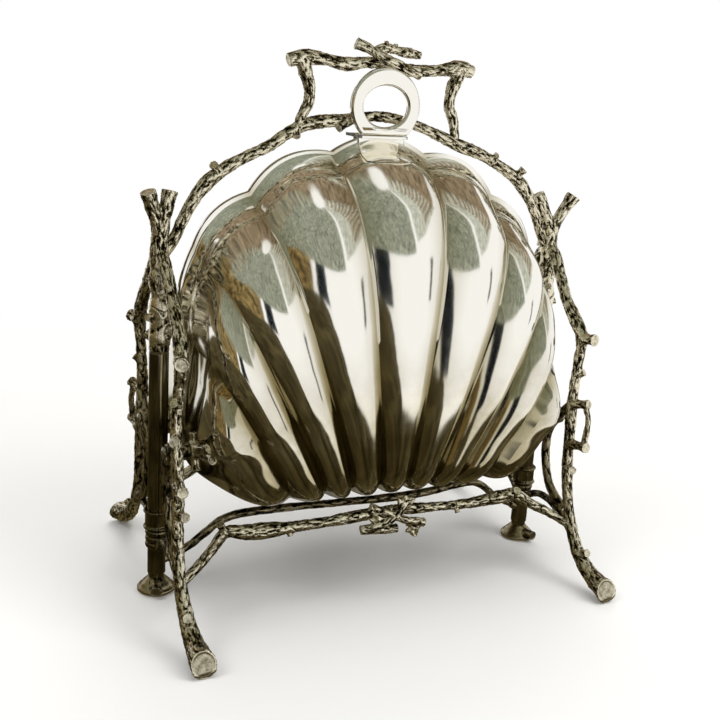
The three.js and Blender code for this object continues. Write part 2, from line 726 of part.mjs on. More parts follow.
function sprigSolid(face) {
  const place = ([along, lift, depth]) => new THREE.Vector3(
    -face * along * sprigHalfWidth,
    face * (railReach - depth * sprigRadius),
    railHeight + lift * sprigRadius,
  );
  const pieces = sprigTwigShares.map((twig) => limb(twig.map(place), sprigRadius, sprigTwigGirthShares));
  for (const [along, lift, depth, turn] of sprigLeafShares) {
    const leaf = leafSolid(sprigHalfWidth * sprigLeafLengthShare, sprigRadius * sprigLeafThicknessShare);
    leaf.rotateY(turn * halfTurn);
    if (face > 0) {
      leaf.rotateZ(halfTurn);
    }
    const root = place([along, lift, depth]);
    leaf.translate(root.x, root.y, root.z);
    pieces.push(solidFrom(leaf));
  }
  return joined(pieces);
}

// Fluted shell half, in front of the parting plane

function pivotPoint(side, face) {
  return new THREE.Vector3(side * halfSpacing, face * pivotOffset, pivotHeight);
}

function grooveLines() {
  const half = cuspShares.map(([width, rise], index) => ({
    hinge: hingeShares[index] * shellHalfWidth,
    rim: new THREE.Vector2(width * shellHalfWidth, rise * shellRise),
  }));
  const pole = {
    hinge: poleShare * shellHalfWidth,
    rim: new THREE.Vector2(poleShare * shellHalfWidth, poleRise),
  };
  const right = [...half, pole];
  const left = right.map(({ hinge, rim }) => ({
    hinge: -hinge,
    rim: new THREE.Vector2(-rim.x, rim.y),
  }));
  return [...left.reverse(), ...right];
}

function columnShares(lobe, lobeCount) {
  if (lobe === 0) {
    return [0, ...endColumnShares.slice(1).reverse().map((share) => 1 - share)];
  }
  return lobe === lobeCount - 1 ? [...endColumnShares, 1] : lobeColumnShares;
}

function fadeAt(share, roundness) {
  return (1 - share ** roundness) ** (1 / roundness);
}

function shellColumns() {
  const lines = grooveLines();
  const lobeCount = lines.length - 1;
  const columns = [];
  for (let lobe = 0; lobe < lobeCount; lobe += 1) {
    const rank = Math.abs(lobe - (lobeCount - 1) / 2);
    const from = lines[lobe];
    const to = lines[lobe + 1];
    const edge = to.rim.clone().sub(from.rim);
    const outward = new THREE.Vector2(-edge.y, edge.x).multiplyScalar(rimSwellShares[rank]);
    for (const share of columnShares(lobe, lobeCount)) {
      const crest = 4 * share * (1 - share);
      const towardsPole = lobe === 0 ? 1 - share : share;
      const atEnd = lobe === 0 || lobe === lobeCount - 1;
      columns.push({
        hinge: THREE.MathUtils.lerp(from.hinge, to.hinge, share),
        rim: from.rim.clone().lerp(to.rim, share).addScaledVector(outward, crest),
        crest,
        fade: atEnd ? fadeAt(towardsPole, endRoundness) : 1,
        heelFade: atEnd ? fadeAt(towardsPole, heelRoundness) : 1,
      });
    }
  }
  return columns;
}

function sectionPoints({ hinge, rim, crest, fade, heelFade }) {
  const edge = shellParting + shellWall;
  const along = rim.clone().sub(new THREE.Vector2(hinge, 0));
  const chord = along.length();
  along.normalize();
  const flute = fluteDepth * (1 - crest);
  const depth = (shellDepth - flute) * fade;
  const heel = (bottomRadius - flute * bottomFluteShare) * heelFade;
  const drop = heel / Math.max(along.y, steepestLeanShare);
  const reach = (pivotOffset - shellParting) * fade;
  const rest = Math.max(depth - reach, 0);
  const narrowing = Math.min(fade, chord / (flangeFadeShare * shellRise));
  const flange = flangeWidth * narrowing;
  const shoulder = shoulderWidth * narrowing;
  const outline = [];
  for (const [down, out] of bottomShares) {
    outline.push(new THREE.Vector2(-down * drop, shellParting + out * reach));
  }
  for (const [down, out] of cheekShares) {
    outline.push(new THREE.Vector2(-down * drop, shellParting + reach + out * rest));
  }
  for (const [up, out] of domeShares) {
    outline.push(new THREE.Vector2(up * (chord - flange), edge + out * depth));
  }
  for (const [back, out] of shoulderShares) {
    outline.push(new THREE.Vector2(chord - flange - back * shoulder, edge + out * depth));
  }
  for (const [back, out] of flangeShares) {
    outline.push(new THREE.Vector2(chord - back * flange, edge + out * depth));
  }
  outline.push(new THREE.Vector2(chord, edge));
  const curve = new THREE.SplineCurve(outline);
  return shellRowShares.map((share) => curve.getPoint(share)).map((point) => new THREE.Vector3(
    hinge + along.x * point.x,
    -point.y,
    pivotHeight + along.y * point.x,
  ));
}

const shellGrid = shellColumns().map(sectionPoints);
const shellRows = shellRowShares.length - 1;

function gridNormal(column, row) {
  const last = shellGrid.length - 1;
  if (column === 0 || column === last) {
    return new THREE.Vector3(column === 0 ? -1 : 1, 1, 0);
  }
  if (row === 0) {
    return new THREE.Vector3(0, 1, 0);
  }
  if (row === shellRows) {
    return new THREE.Vector3(0, -1, 0);
  }
  const across = shellGrid[column + 1][row].clone().sub(shellGrid[column - 1][row]);
  const up = shellGrid[column][row + 1].clone().sub(shellGrid[column][row - 1]);
  return across.cross(up).normalize();
}

function gridPoint(column, row, offset) {
  return shellGrid[column][row].clone().addScaledVector(gridNormal(column, row), offset);
}

class GridBody {
  constructor() {
    this.numbers = new Map();
    this.points = [];
    this.faces = [];
  }

  corner(key, point) {
    if (!this.numbers.has(key)) {
      this.numbers.set(key, this.points.length / 3);
      this.points.push(point.x, point.y, point.z);
    }
    return this.numbers.get(key);
  }

  face(a, b, c) {
    if (a !== b && b !== c && c !== a) {
      this.faces.push(a, b, c);
    }
  }

  quad(a, b, c, d) {
    this.face(a, b, c);
    this.face(a, c, d);
  }

  geometry() {
    const geometry = new THREE.BufferGeometry();
    geometry.setAttribute('position', new THREE.Float32BufferAttribute(this.points, 3));
    geometry.setIndex(this.faces);
    return geometry;
  }
}

function gridCorner(body, layer, column, row, place) {
  const last = shellGrid.length - 1;
  const pole = column === 0 || column === last;
  const key = pole ? `${layer} ${column}` : `${layer} ${column} ${row}`;
  return body.corner(key, place(column, pole ? 0 : row));
}

function layGrid(body, place, layer, flipped) {
  const at = (column, row) => gridCorner(body, layer, column, row, place);
  for (let column = 0; column < shellGrid.length - 1; column += 1) {
    for (let row = 0; row < shellRows; row += 1) {
      const here = at(column, row);
      const beside = at(column + 1, row);
      const across = at(column + 1, row + 1);
      const above = at(column, row + 1);
      if (flipped) {
        body.quad(here, above, across, beside);
      } else {
        body.quad(here, beside, across, above);
      }
    }
  }
}

function joinEdges(body, outer, inner) {
  for (let column = 0; column < shellGrid.length - 1; column += 1) {
    const next = column + 1;
    const top = shellRows;
    body.quad(outer(column, top), outer(next, top), inner(next, top), inner(column, top));
    body.quad(inner(column, 0), inner(next, 0), outer(next, 0), outer(column, 0));
  }
}

// The sheet itself, from the outer surface to the inner one
function shellSheet() {
  const body = new GridBody();
  const outerPlace = (column, row) => gridPoint(column, row, 0);
  const innerPlace = (column, row) => gridPoint(column, row, -shellWall);
  layGrid(body, outerPlace, 'outer', false);
  layGrid(body, innerPlace, 'inner', true);
  joinEdges(
    body,
    (column, row) => gridCorner(body, 'outer', column, row, outerPlace),
    (column, row) => gridCorner(body, 'inner', column, row, innerPlace),
  );
  return body.geometry();
}

// The shell's whole volume, closed on the parting plane and grown by an offset
function shellBlock(offset) {
  const body = new GridBody();
  const outerPlace = (column, row) => gridPoint(column, row, offset);
  const planePlace = (column, row) => gridPoint(column, row, offset).setY(0);
  layGrid(body, outerPlace, 'outer', false);
  const outer = (column, row) => gridCorner(body, 'outer', column, row, outerPlace);
  const plane = (column, row) => gridCorner(body, 'plane', column, row, planePlace);
  joinEdges(body, outer, plane);
  for (let column = 0; column < shellGrid.length - 1; column += 1) {
    const next = column + 1;
    body.quad(plane(column, shellRows), plane(next, shellRows), plane(next, 0), plane(column, 0));
  }
  return solidFrom(body.geometry());
}

// Lugs on the shell's ends, and the pins that carry it in the struts

function lugSolid(side) {
  const axis = pivotPoint(side, -1);
  const outer = side * (halfSpacing - strutRadius - bossLength - seamGap);
  const inner = side * shellHalfWidth * lugRootShare;
  const hub = rod(
    lugRadius,
    new THREE.Vector3(inner, axis.y, axis.z),
    new THREE.Vector3(outer, axis.y, axis.z),
  );
  const pieces = [hub];
  for (const [x, y, z, reachShare] of lugBudShares) {
    const root = new THREE.Vector3(outer - side * (budRadius + seamGap), axis.y, axis.z);
    pieces.push(stub(root, new THREE.Vector3(side * x, y, z), budReach * reachShare, budRadius));
  }
  const socket = rod(
    pinRadius + seamGap,
    new THREE.Vector3(outer - side * (pinSocketDepth + seamGap), axis.y, axis.z),
    new THREE.Vector3(outer + side * cutOverrun, axis.y, axis.z),
  );
  return joined(pieces).subtract(shellBlock(seamGap)).subtract(socket);
}

function pinSolid(side) {
  const axis = pivotPoint(side, -1);
  const inner = side * (halfSpacing - strutRadius - bossLength - seamGap - pinSocketDepth);
  const outer = side * (halfSpacing + strutRadius + turnGap);
  const head = outer + side * pinHeadHeight;
  const tip = new THREE.Vector3(inner, axis.y, axis.z);
  const seat = new THREE.Vector3(outer, axis.y, axis.z);
  const end = new THREE.Vector3(head, axis.y, axis.z);
  return rod(pinRadius, tip, end).add(rod(pinHeadRadius, seat, end));
}

function pinBore(side, face) {
  const axis = pivotPoint(side, face);
  const reach = 2 * (bossLength + strutRadius);
  const inner = new THREE.Vector3(axis.x - side * reach, axis.y, axis.z);
  const seat = new THREE.Vector3(axis.x + side * strutRadius, axis.y, axis.z);
  const outer = new THREE.Vector3(axis.x + side * reach, axis.y, axis.z);
  return rod(pinRadius + turnGap, inner, outer).add(rod(pinHeadRadius + turnGap, seat, outer));
}

// Lifting ring and the strap that holds it on the shell

function ringSolid() {
  const centre = ringBase + ringDrop;
  const start = Math.asin(ringDrop / ringRadius);
  const shape = new THREE.Shape();
  shape.absarc(0, centre, ringRadius, -start, halfTurn + start, false);
  const middle = new THREE.Vector2(0, centre);
  shape.holes.push(new THREE.Path(oval(middle, ringHoleHalfWidth, ringHoleHalfHeight, 0, ringHoleSides)));
  const geometry = new THREE.ExtrudeGeometry(shape, {
    depth: ringThickness - 2 * ringBevel,
    bevelThickness: ringBevel,
    bevelSize: ringBevel,
    bevelOffset: -ringBevel,
    bevelSegments: 1,
    curveSegments: ringOuterSides,
  });
  geometry.rotateX(halfTurn / 2);
  geometry.translate(0, -ringOffset + ringThickness / 2 - ringBevel, 0);
  const slotBase = ringBase + ringSlotBase;
  const slot = block(
    new THREE.Vector3(-ringSlotHalfWidth, -ringOffset - ringThickness, slotBase),
    new THREE.Vector3(ringSlotHalfWidth, -ringOffset + ringThickness, slotBase + ringSlotHeight),
  );
  return solidFrom(geometry).subtract(slot);
}

function strapSolid(shelfReach) {
  const top = ringBase - seamGap;
  const skin = shellBlock(seamGap + strapThickness);
  const tongue = block(
    new THREE.Vector3(-strapHalfWidth, -shellDepth, ringBase - strapHeight),
    new THREE.Vector3(strapHalfWidth, -shellParting - shellWall - seamGap, top),
  ).intersect(skin);
  const shelf = block(
    new THREE.Vector3(-strapHalfWidth, -shelfReach, top - strapThickness),
    new THREE.Vector3(strapHalfWidth, -shellParting - shellWall - seamGap, top),
  );
  return tongue.add(shelf).subtract(shellBlock(seamGap));
}

// Pierced flap inside the shell, its hinge leaf and pin

function flapOutline() {
  const widthShare = (shellHalfWidth - flapMargin) / shellHalfWidth;
  const riseShare = (shellRise - flapMargin) / shellRise;
  const edge = shellColumns()
    .map(({ rim }) => new THREE.Vector2(rim.x * widthShare, pivotHeight + rim.y * riseShare))
    .filter((point) => point.y > flapBase + flapHoleWidth);
  const lowLeft = new THREE.Vector2(-flapHingeHalfWidth, flapBase);
  const lowRight = new THREE.Vector2(flapHingeHalfWidth, flapBase);
  return new THREE.Shape([lowLeft, lowRight, ...edge.reverse()]);
}

function flapHoles(outline) {
  const centre = new THREE.Vector2(0, flapBase);
  const rays = outline.getPoints().map((point) => point.clone().sub(centre));
  const spread = THREE.MathUtils.degToRad(flapFanAngle);
  const holes = [];
  for (const [reachShare, count, lengthShare, widthShare] of flapHoleShares) {
    for (let column = 0; column < count; column += 1) {
      const angle = halfTurn / 2 - spread / 2 + (spread * (column + 0.5)) / count;
      const misses = rays.map((ray) => Math.abs(ray.angle() - angle));
      const reach = rays[misses.indexOf(Math.min(...misses))].length() * reachShare;
      const place = new THREE.Vector2(Math.cos(angle), Math.sin(angle)).multiplyScalar(reach).add(centre);
      const halfLength = (flapHoleLength * lengthShare) / 2;
      const halfWidth = (flapHoleWidth * widthShare) / 2;
      holes.push(new THREE.Path(oval(place, halfLength, halfWidth, angle, flapHoleSides)));
    }
  }
  return holes;
}

function flapSolid() {
  const shape = flapOutline();
  shape.holes.push(...flapHoles(shape));
  const geometry = new THREE.ExtrudeGeometry(shape, {
    depth: flapThickness,
    bevelEnabled: false,
  });
  geometry.rotateX(halfTurn / 2);
  geometry.translate(0, -flapOffset + flapThickness / 2, 0);
  const pieces = [solidFrom(geometry)];
  for (const [from, to] of flapKnuckleShares) {
    pieces.push(knuckle(from, to));
    pieces.push(block(
      new THREE.Vector3(from * flapHingeHalfWidth, -flapOffset - flapThickness / 2, flapHingeHeight),
      new THREE.Vector3(to * flapHingeHalfWidth, -flapOffset + flapThickness / 2, flapBase + flapThickness),
    ));
  }
  return joined(pieces).subtract(flapBoreSolid());
}

function knuckle(from, to) {
  return rod(
    knuckleRadius,
    new THREE.Vector3(from * flapHingeHalfWidth, -flapOffset, flapHingeHeight),
    new THREE.Vector3(to * flapHingeHalfWidth, -flapOffset, flapHingeHeight),
    smallRodSides,
  );
}

function flapBoreSolid() {
  const reach = flapHingeHalfWidth + cutOverrun;
  return rod(
    knuckleBore,
    new THREE.Vector3(-reach, -flapOffset, flapHingeHeight),
    new THREE.Vector3(reach, -flapOffset, flapHingeHeight),
    smallRodSides,
  );
}

function flapPinSolid() {
  return rod(
    flapPinRadius,
    new THREE.Vector3(-flapHingeHalfWidth, -flapOffset, flapHingeHeight),
    new THREE.Vector3(flapHingeHalfWidth, -flapOffset, flapHingeHeight),
    smallRodSides,
  );
}

function flapLeafSolid() {
  const front = -flapOffset - flapLeafThickness / 2;
  const back = -flapOffset + flapLeafThickness / 2;
  const base = pivotHeight - bottomRadius;
  const bare = block(
    new THREE.Vector3(-flapHingeHalfWidth, front, base),
    new THREE.Vector3(flapHingeHalfWidth, back, flapHingeHeight - knuckleRadius - seamGap),
  );
  const pieces = [bare.intersect(shellBlock(-shellWall - seamGap))];
  for (const [from, to] of leafKnuckleShares) {
    pieces.push(knuckle(from, to));
    pieces.push(block(
      new THREE.Vector3(from * flapHingeHalfWidth, front, flapHingeHeight - 2 * knuckleRadius),
      new THREE.Vector3(to * flapHingeHalfWidth, back, flapHingeHeight),
    ));
  }
  return joined(pieces).subtract(flapBoreSolid());
}

function flapKnobSolid() {
  const profile = flapKnobShares.map(([radius, height]) => [
    radius * flapKnobRadius,
    height * flapKnobHeight,
  ]);
  const geometry = turned(profile);
  geometry.rotateX(-halfTurn / 2);
  const place = pivotHeight + shellRise - 2 * flapMargin;
  geometry.translate(0, -flapOffset + flapThickness / 2 + seamGap, place);
  return solidFrom(geometry);
}

// Finishes

function finish(color, roughness, metalness = 1) {
  return new THREE.MeshStandardMaterial({ color, roughness, metalness });
}

const polishedSilver = finish(0xd9d3c2, 0.1);
const castSilver = finish(0xb5a98c, 0.38);
const plainTube = finish(0xb0a68c, 0.22);
const gilt = finish(0xd9b765, 0.25);
const steelPin = finish(0xc4bda8, 0.3);

const group = new THREE.Group();

function add(name, geometry, material) {
  const mesh = new THREE.Mesh(geometry, material);
  mesh.name = name;
  group.add(mesh);
  return mesh;
}

const arch = archSolid();
const archGrown = archSolid(seamGap);
const gripGrown = gripSolid(seamGap);
const crownsGrown = {};

for (const side of [-1, 1]) {
  const hand = side < 0 ? 'left' : 'right';
  const postGrown = postSolid(side, seamGap);
  const footGrown = footSolid(side, seamGap);
  const crownGrown = crownSolid(side, seamGap);
  crownsGrown[side] = crownGrown;
  add(`${hand}_post`, geometryFrom(postSolid(side)), plainTube);
  add(`${hand}_post_foot`, geometryFrom(footSolid(side)), castSilver);
  add(`${hand}_post_collar`, collarGeometry(side), plainTube);
  add(`${hand}_crown`, geometryFrom(crownSolid(side)), castSilver);
  for (const face of [-1, 1]) {
    const end = face < 0 ? 'front' : 'back';
    const legCutters = [crownGrown, archGrown, footCutter(side, face), floorCutter()];
    const leg = trimmed(legSolid(side, face), legCutters);
    const legGrown = legSolid(side, face, seamGap);
    const strut = trimmed(strutSolid(side, face), [legGrown, pinBore(side, face)]);
    const strutGrown = strutSolid(side, face, seamGap);
    const tie = trimmed(tieSolid(side, face), [legGrown, strutGrown, postGrown, footGrown]);
    add(`${hand}_${end}_leg`, geometryFrom(leg), castSilver);
    add(`${hand}_${end}_strut`, geometryFrom(strut), castSilver);
    add(`${hand}_${end}_tie`, geometryFrom(tie), castSilver);
  }
}

add('arch_bow', geometryFrom(trimmed(arch, [crownsGrown[-1], crownsGrown[1]])), castSilver);
add('carrying_grip', geometryFrom(trimmed(gripSolid(), [archGrown])), castSilver);
add('grip_twig', geometryFrom(trimmed(twigSolid(), [gripGrown])), castSilver);

for (const face of [-1, 1]) {
  const end = face < 0 ? 'front' : 'back';
  const cutters = [];
  for (const side of [-1, 1]) {
    for (const solidAt of [legSolid, strutSolid, tieSolid]) {
      cutters.push(solidAt(side, face, seamGap));
    }
  }
  add(`${end}_rail`, geometryFrom(trimmed(railSolid(face), cutters)), castSilver);
  add(`${end}_rail_sprig`, geometryFrom(trimmed(sprigSolid(face), [railSolid(face, seamGap)])), castSilver);
}
const postsGrown = [-1, 1].flatMap((side) => [
  postSolid(side, seamGap),
  footSolid(side, seamGap),
  tieSolid(side, -1, seamGap),
  tieSolid(side, 1, seamGap),
]);
add('spine_rail', geometryFrom(trimmed(spineSolid(), postsGrown)), castSilver);

const shellPieces = [
  ['shell', shellSheet(), polishedSilver],
  ['shell_left_lug', geometryFrom(lugSolid(-1)), polishedSilver],
  ['shell_right_lug', geometryFrom(lugSolid(1)), polishedSilver],
  ['shell_left_pin', geometryFrom(pinSolid(-1)), steelPin],
  ['shell_right_pin', geometryFrom(pinSolid(1)), steelPin],
  ['flap', geometryFrom(flapSolid()), gilt],
  ['flap_hinge_leaf', geometryFrom(flapLeafSolid()), gilt],
  ['flap_hinge_pin', geometryFrom(flapPinSolid()), steelPin],
  ['flap_knob', geometryFrom(flapKnobSolid()), gilt],
];
for (const [piece, geometry, material] of shellPieces) {
  add(`front_${piece}`, geometry, material);
  const back = add(`back_${piece}`, geometry, material);
  back.rotation.z = halfTurn;
}
add('front_ring', geometryFrom(ringSolid()), polishedSilver);
add('front_ring_strap', geometryFrom(strapSolid(ringOffset + ringThickness / 2)), polishedSilver);
const thumbStrap = add('back_thumb_strap', geometryFrom(strapSolid(thumbLipReach)), polishedSilver);
thumbStrap.rotation.z = halfTurn;

export default group;
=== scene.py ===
import math
import bpy
import bmesh
import numpy as np
from mathutils import Matrix, Vector
from mathutils.bvhtree import BVHTree


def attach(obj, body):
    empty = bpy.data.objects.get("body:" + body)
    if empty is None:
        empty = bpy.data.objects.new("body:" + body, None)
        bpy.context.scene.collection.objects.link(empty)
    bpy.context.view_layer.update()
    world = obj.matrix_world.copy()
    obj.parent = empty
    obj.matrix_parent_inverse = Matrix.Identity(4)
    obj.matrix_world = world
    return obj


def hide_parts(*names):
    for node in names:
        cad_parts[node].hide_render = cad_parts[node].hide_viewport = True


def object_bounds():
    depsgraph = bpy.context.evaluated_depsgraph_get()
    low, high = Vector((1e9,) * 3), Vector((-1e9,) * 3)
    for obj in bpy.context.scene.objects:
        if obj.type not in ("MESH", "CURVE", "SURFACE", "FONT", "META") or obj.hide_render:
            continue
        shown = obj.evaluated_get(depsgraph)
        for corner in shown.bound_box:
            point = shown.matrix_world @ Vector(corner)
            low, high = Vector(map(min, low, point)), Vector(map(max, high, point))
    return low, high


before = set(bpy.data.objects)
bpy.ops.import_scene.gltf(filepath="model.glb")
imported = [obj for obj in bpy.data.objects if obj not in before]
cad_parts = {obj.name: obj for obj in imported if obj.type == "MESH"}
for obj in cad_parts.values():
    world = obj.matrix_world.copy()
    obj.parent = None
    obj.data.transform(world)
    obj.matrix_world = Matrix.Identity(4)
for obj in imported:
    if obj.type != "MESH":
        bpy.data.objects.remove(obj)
cadLow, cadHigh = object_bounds()
mm = 0.001
halfSpacing = 113  # post line, the sizes below are in millimetres too


def toLinear(code):
    parts = [int(code[i:i + 2], 16) / 255 for i in (1, 3, 5)]
    return [c / 12.92 if c <= 0.04045 else ((c + 0.055) / 1.055) ** 2.4 for c in parts] + [1]


def addNode(tree, kind, inputs=None, **settings):
    node = tree.nodes.new(kind)
    for name, value in settings.items():
        setattr(node, name, value)
    for name, value in (inputs or {}).items():
        socket = node.inputs[name]
        if isinstance(value, bpy.types.NodeSocket):
            tree.links.new(value, socket)
        else:
            socket.default_value = value
    return node


def setRamp(node, stops):
    ramp = node.color_ramp
    while len(ramp.elements) < len(stops):
        ramp.elements.new(0.5)
    for element, (place, color) in zip(ramp.elements, stops):
        element.position = place
        element.color = color if len(color) == 4 else [*color, 1]


# ---- materials
# Silver plate over nickel silver, spun and raised, then buffed: a warm mirror with faint buffing
# lines, brownish tarnish in the flutes, and painted shade that darkens it in patches towards the bottom
plateLook = {"silver": "#f6f3ea", "tarnishAndShade": "#b3a98a", "deepTarnishAndShade": "#6e654a", "paintedShadeLow": 66,
             "paintedShadeHigh": 150, "hairlineMm": 0.5, "rippleMm": 16, "roughness": 0.07}


def silverPlate():
    look = plateLook
    material = bpy.data.materials.new("buffed_silver_plate")
    material.use_nodes = True
    tree = material.node_tree
    shader = tree.nodes["Principled BSDF"]
    place = addNode(tree, "ShaderNodeTexCoord").outputs["Object"]
    height = addNode(tree, "ShaderNodeSeparateXYZ", {"Vector": place}).outputs["Z"]
    # painted shade: the plate darkens in patches towards the bottom, standing in for the dark reflection there
    low = addNode(tree, "ShaderNodeMapRange", {"Value": height, "From Min": look["paintedShadeLow"] * mm,
                  "From Max": look["paintedShadeHigh"] * mm, "To Min": 1.0, "To Max": 0.0})
    patches = addNode(tree, "ShaderNodeTexNoise", {"Vector": place, "Scale": 1 / (22 * mm),
                      "Detail": 4.0, "Roughness": 0.6})
    groove = addNode(tree, "ShaderNodeAttribute", attribute_name="groove")
    patched = addNode(tree, "ShaderNodeMath", {0: patches.outputs["Fac"], 1: 0.9}, operation="MULTIPLY")
    paintedLowShade = addNode(tree, "ShaderNodeMath", {0: low.outputs["Result"], 1: patched.outputs[0]},
                       operation="MULTIPLY")
    # the colour follows the tarnish in the flutes plus the painted shade low down
    patinaAndShade = addNode(tree, "ShaderNodeMath", {0: groove.outputs["Fac"], 1: 0.35, 2: paintedLowShade.outputs[0]},
                      operation="MULTIPLY_ADD")
    ramp = addNode(tree, "ShaderNodeValToRGB", {"Fac": patinaAndShade.outputs[0]})
    setRamp(ramp, [(0.05, toLinear(look["silver"])), (0.45, toLinear(look["tarnishAndShade"])),
                   (0.95, toLinear(look["deepTarnishAndShade"]))])
    tree.links.new(ramp.outputs["Color"], shader.inputs["Base Color"])
    shader.inputs["Metallic"].default_value = 1
    lines = addNode(tree, "ShaderNodeTexNoise", {"Vector": place, "Scale": 1 / (look["hairlineMm"] * mm),
                    "Detail": 2.0})
    rough = addNode(tree, "ShaderNodeMapRange", {"Value": lines.outputs["Fac"], "From Min": 0.3,
                    "From Max": 0.7, "To Min": look["roughness"], "To Max": look["roughness"] * 2})
    tree.links.new(rough.outputs["Result"], shader.inputs["Roughness"])
    ripple = addNode(tree, "ShaderNodeTexNoise", {"Vector": place, "Scale": 1 / (look["rippleMm"] * mm),
                     "Detail": 1.0})
    bump = addNode(tree, "ShaderNodeBump", {"Height": ripple.outputs["Fac"], "Strength": 0.35,
                   "Distance": 0.6 * mm})
    tree.links.new(bump.outputs["Normal"], shader.inputs["Normal"])
    return material


# Cast silver bark, oxidised black in the hollows and rubbed bright on the ridges
barkLook = {"ridge": "#ebe3cb", "middle": "#7d7254", "hollow": "#100e09", "grainMm": 0.95}


def castBark(name, ridge, middle, hollow, roughness):
    material = bpy.data.materials.new(name)
    material.use_nodes = True
    tree = material.node_tree
    shader = tree.nodes["Principled BSDF"]
    place = addNode(tree, "ShaderNodeTexCoord").outputs["Object"]
    relief = addNode(tree, "ShaderNodeAttribute", attribute_name="relief")
    grain = addNode(tree, "ShaderNodeTexNoise", {"Vector": place, "Scale": 1 / (barkLook["grainMm"] * mm),
                    "Detail": 3.0, "Roughness": 0.6, "Distortion": 1.4})
    mixed = addNode(tree, "ShaderNodeMath", {0: grain.outputs["Fac"], 1: 0.5, 2: -0.24},
                    operation="MULTIPLY_ADD")
    worn = addNode(tree, "ShaderNodeMath", {0: relief.outputs["Fac"], 1: mixed.outputs[0]}, operation="ADD")
    ramp = addNode(tree, "ShaderNodeValToRGB", {"Fac": worn.outputs[0]})
    setRamp(ramp, [(0.22, toLinear(hollow)), (0.43, toLinear(middle)), (0.66, toLinear(ridge))])
    tree.links.new(ramp.outputs["Color"], shader.inputs["Base Color"])
    shader.inputs["Metallic"].default_value = 1
    rough = addNode(tree, "ShaderNodeMapRange", {"Value": worn.outputs[0], "From Min": 0.3, "From Max": 0.8,
                    "To Min": roughness * 1.9, "To Max": roughness})
    tree.links.new(rough.outputs["Result"], shader.inputs["Roughness"])
    bump = addNode(tree, "ShaderNodeBump", {"Height": grain.outputs["Fac"], "Strength": 0.7,
                   "Distance": 0.16 * mm})
    tree.links.new(bump.outputs["Normal"], shader.inputs["Normal"])
    return material


# Drawn tube, silver plated and left to darken: streaks run along it, over a soft shine
def drawnTube(name, light, dark, roughness, streakMm, stretch=0.08):
    material = bpy.data.materials.new(name)
    material.use_nodes = True
    tree = material.node_tree
    shader = tree.nodes["Principled BSDF"]
    place = addNode(tree, "ShaderNodeTexCoord").outputs["Object"]
    streaks = addNode(tree, "ShaderNodeMapping", {"Vector": place, "Scale": (1, 1, stretch)})
    noise = addNode(tree, "ShaderNodeTexNoise", {"Vector": streaks.outputs[0], "Scale": 1 / (streakMm * mm),
                    "Detail": 4.0, "Roughness": 0.6})
    ramp = addNode(tree, "ShaderNodeValToRGB", {"Fac": noise.outputs["Fac"]})
    setRamp(ramp, [(0.36, toLinear(dark)), (0.62, toLinear(light))])
    tree.links.new(ramp.outputs["Color"], shader.inputs["Base Color"])
    shader.inputs["Metallic"].default_value = 1
    rough = addNode(tree, "ShaderNodeMapRange", {"Value": noise.outputs["Fac"], "From Min": 0.3,
                    "From Max": 0.7, "To Min": roughness * 1.6, "To Max": roughness})
    tree.links.new(rough.outputs["Result"], shader.inputs["Roughness"])
    return material


plateMaterial = silverPlate()
barkMaterial = castBark("oxidised_cast_silver", barkLook["ridge"], barkLook["middle"], barkLook["hollow"], 0.24)
darkBarkMaterial = castBark("darkened_cast_silver", "#a89d7f", "#5d5641", "#14120c", 0.24)
lugMaterial = castBark("polished_cast_silver", "#e6dfc9", "#b3a888", "#3a3324", 0.16)
tubeMaterial = drawnTube("drawn_plated_tube", "#8d8467", "#5c5540", 0.13, 6, 0.3)
steelMaterial = drawnTube("turned_steel", "#cbc6b8", "#8c8778", 0.2, 0.8)
giltMaterial = drawnTube("gilt_pierced_sheet", "#ecd193", "#d3ae62", 0.2, 9, 0.5)
print("materials made")


# ---- small mesh helpers
def makeObject(name, points, faces, material, smooth=True):
    mesh = bpy.data.meshes.new(name)
    mesh.from_pydata([tuple(p) for p in points], [], [tuple(f) for f in faces])
    mesh.update()
    thing = bpy.data.objects.new(name, mesh)
    bpy.context.scene.collection.objects.link(thing)
    if material:
        mesh.materials.append(material)
    for face in mesh.polygons:
        face.use_smooth = smooth
    return thing


def settled(thing):
    # the modifiers' result becomes the object's own plain mesh
    graph = bpy.context.evaluated_depsgraph_get()
    mesh = bpy.data.meshes.new_from_object(thing.evaluated_get(graph))
    thing.modifiers.clear()
    old = thing.data
    mesh.name = thing.name
    thing.data = mesh
    if old.users == 0:
        bpy.data.meshes.remove(old)
    return thing


def turnedAbout(profile, segments):
    # profile: (radius, height) from the bottom up, closed on the axis at both ends
    points, faces = [], []
    for radius, height in profile:
        for k in range(segments):
            angle = 2 * math.pi * k / segments
            points.append((radius * math.cos(angle), radius * math.sin(angle), height))
    for ring in range(len(profile) - 1):
        for k in range(segments):
            a, b = ring * segments + k, ring * segments + (k + 1) % segments
            faces.append((a, b, b + segments, a + segments))
    faces.append(tuple(reversed(range(segments))))
    faces.append(tuple(range((len(profile) - 1) * segments, len(profile) * segments)))
    return np.array(points, float), faces


def rounded(profile, radius, steps=4):
    # softens the corners of a turned profile
    profile = [np.array(p, float) for p in profile]
    result = [profile[0]]
    for before, corner, after in zip(profile, profile[1:], profile[2:]):
        into, out = corner - before, after - corner
        reach = min(radius, np.linalg.norm(into) * 0.45, np.linalg.norm(out) * 0.45)
        start = corner - into / np.linalg.norm(into) * reach
        end = corner + out / np.linalg.norm(out) * reach
        for k in range(steps + 1):
            t = k / steps
            result.append((1 - t) ** 2 * start + 2 * t * (1 - t) * corner + t ** 2 * end)
    return [tuple(p) for p in result + [profile[-1]]]


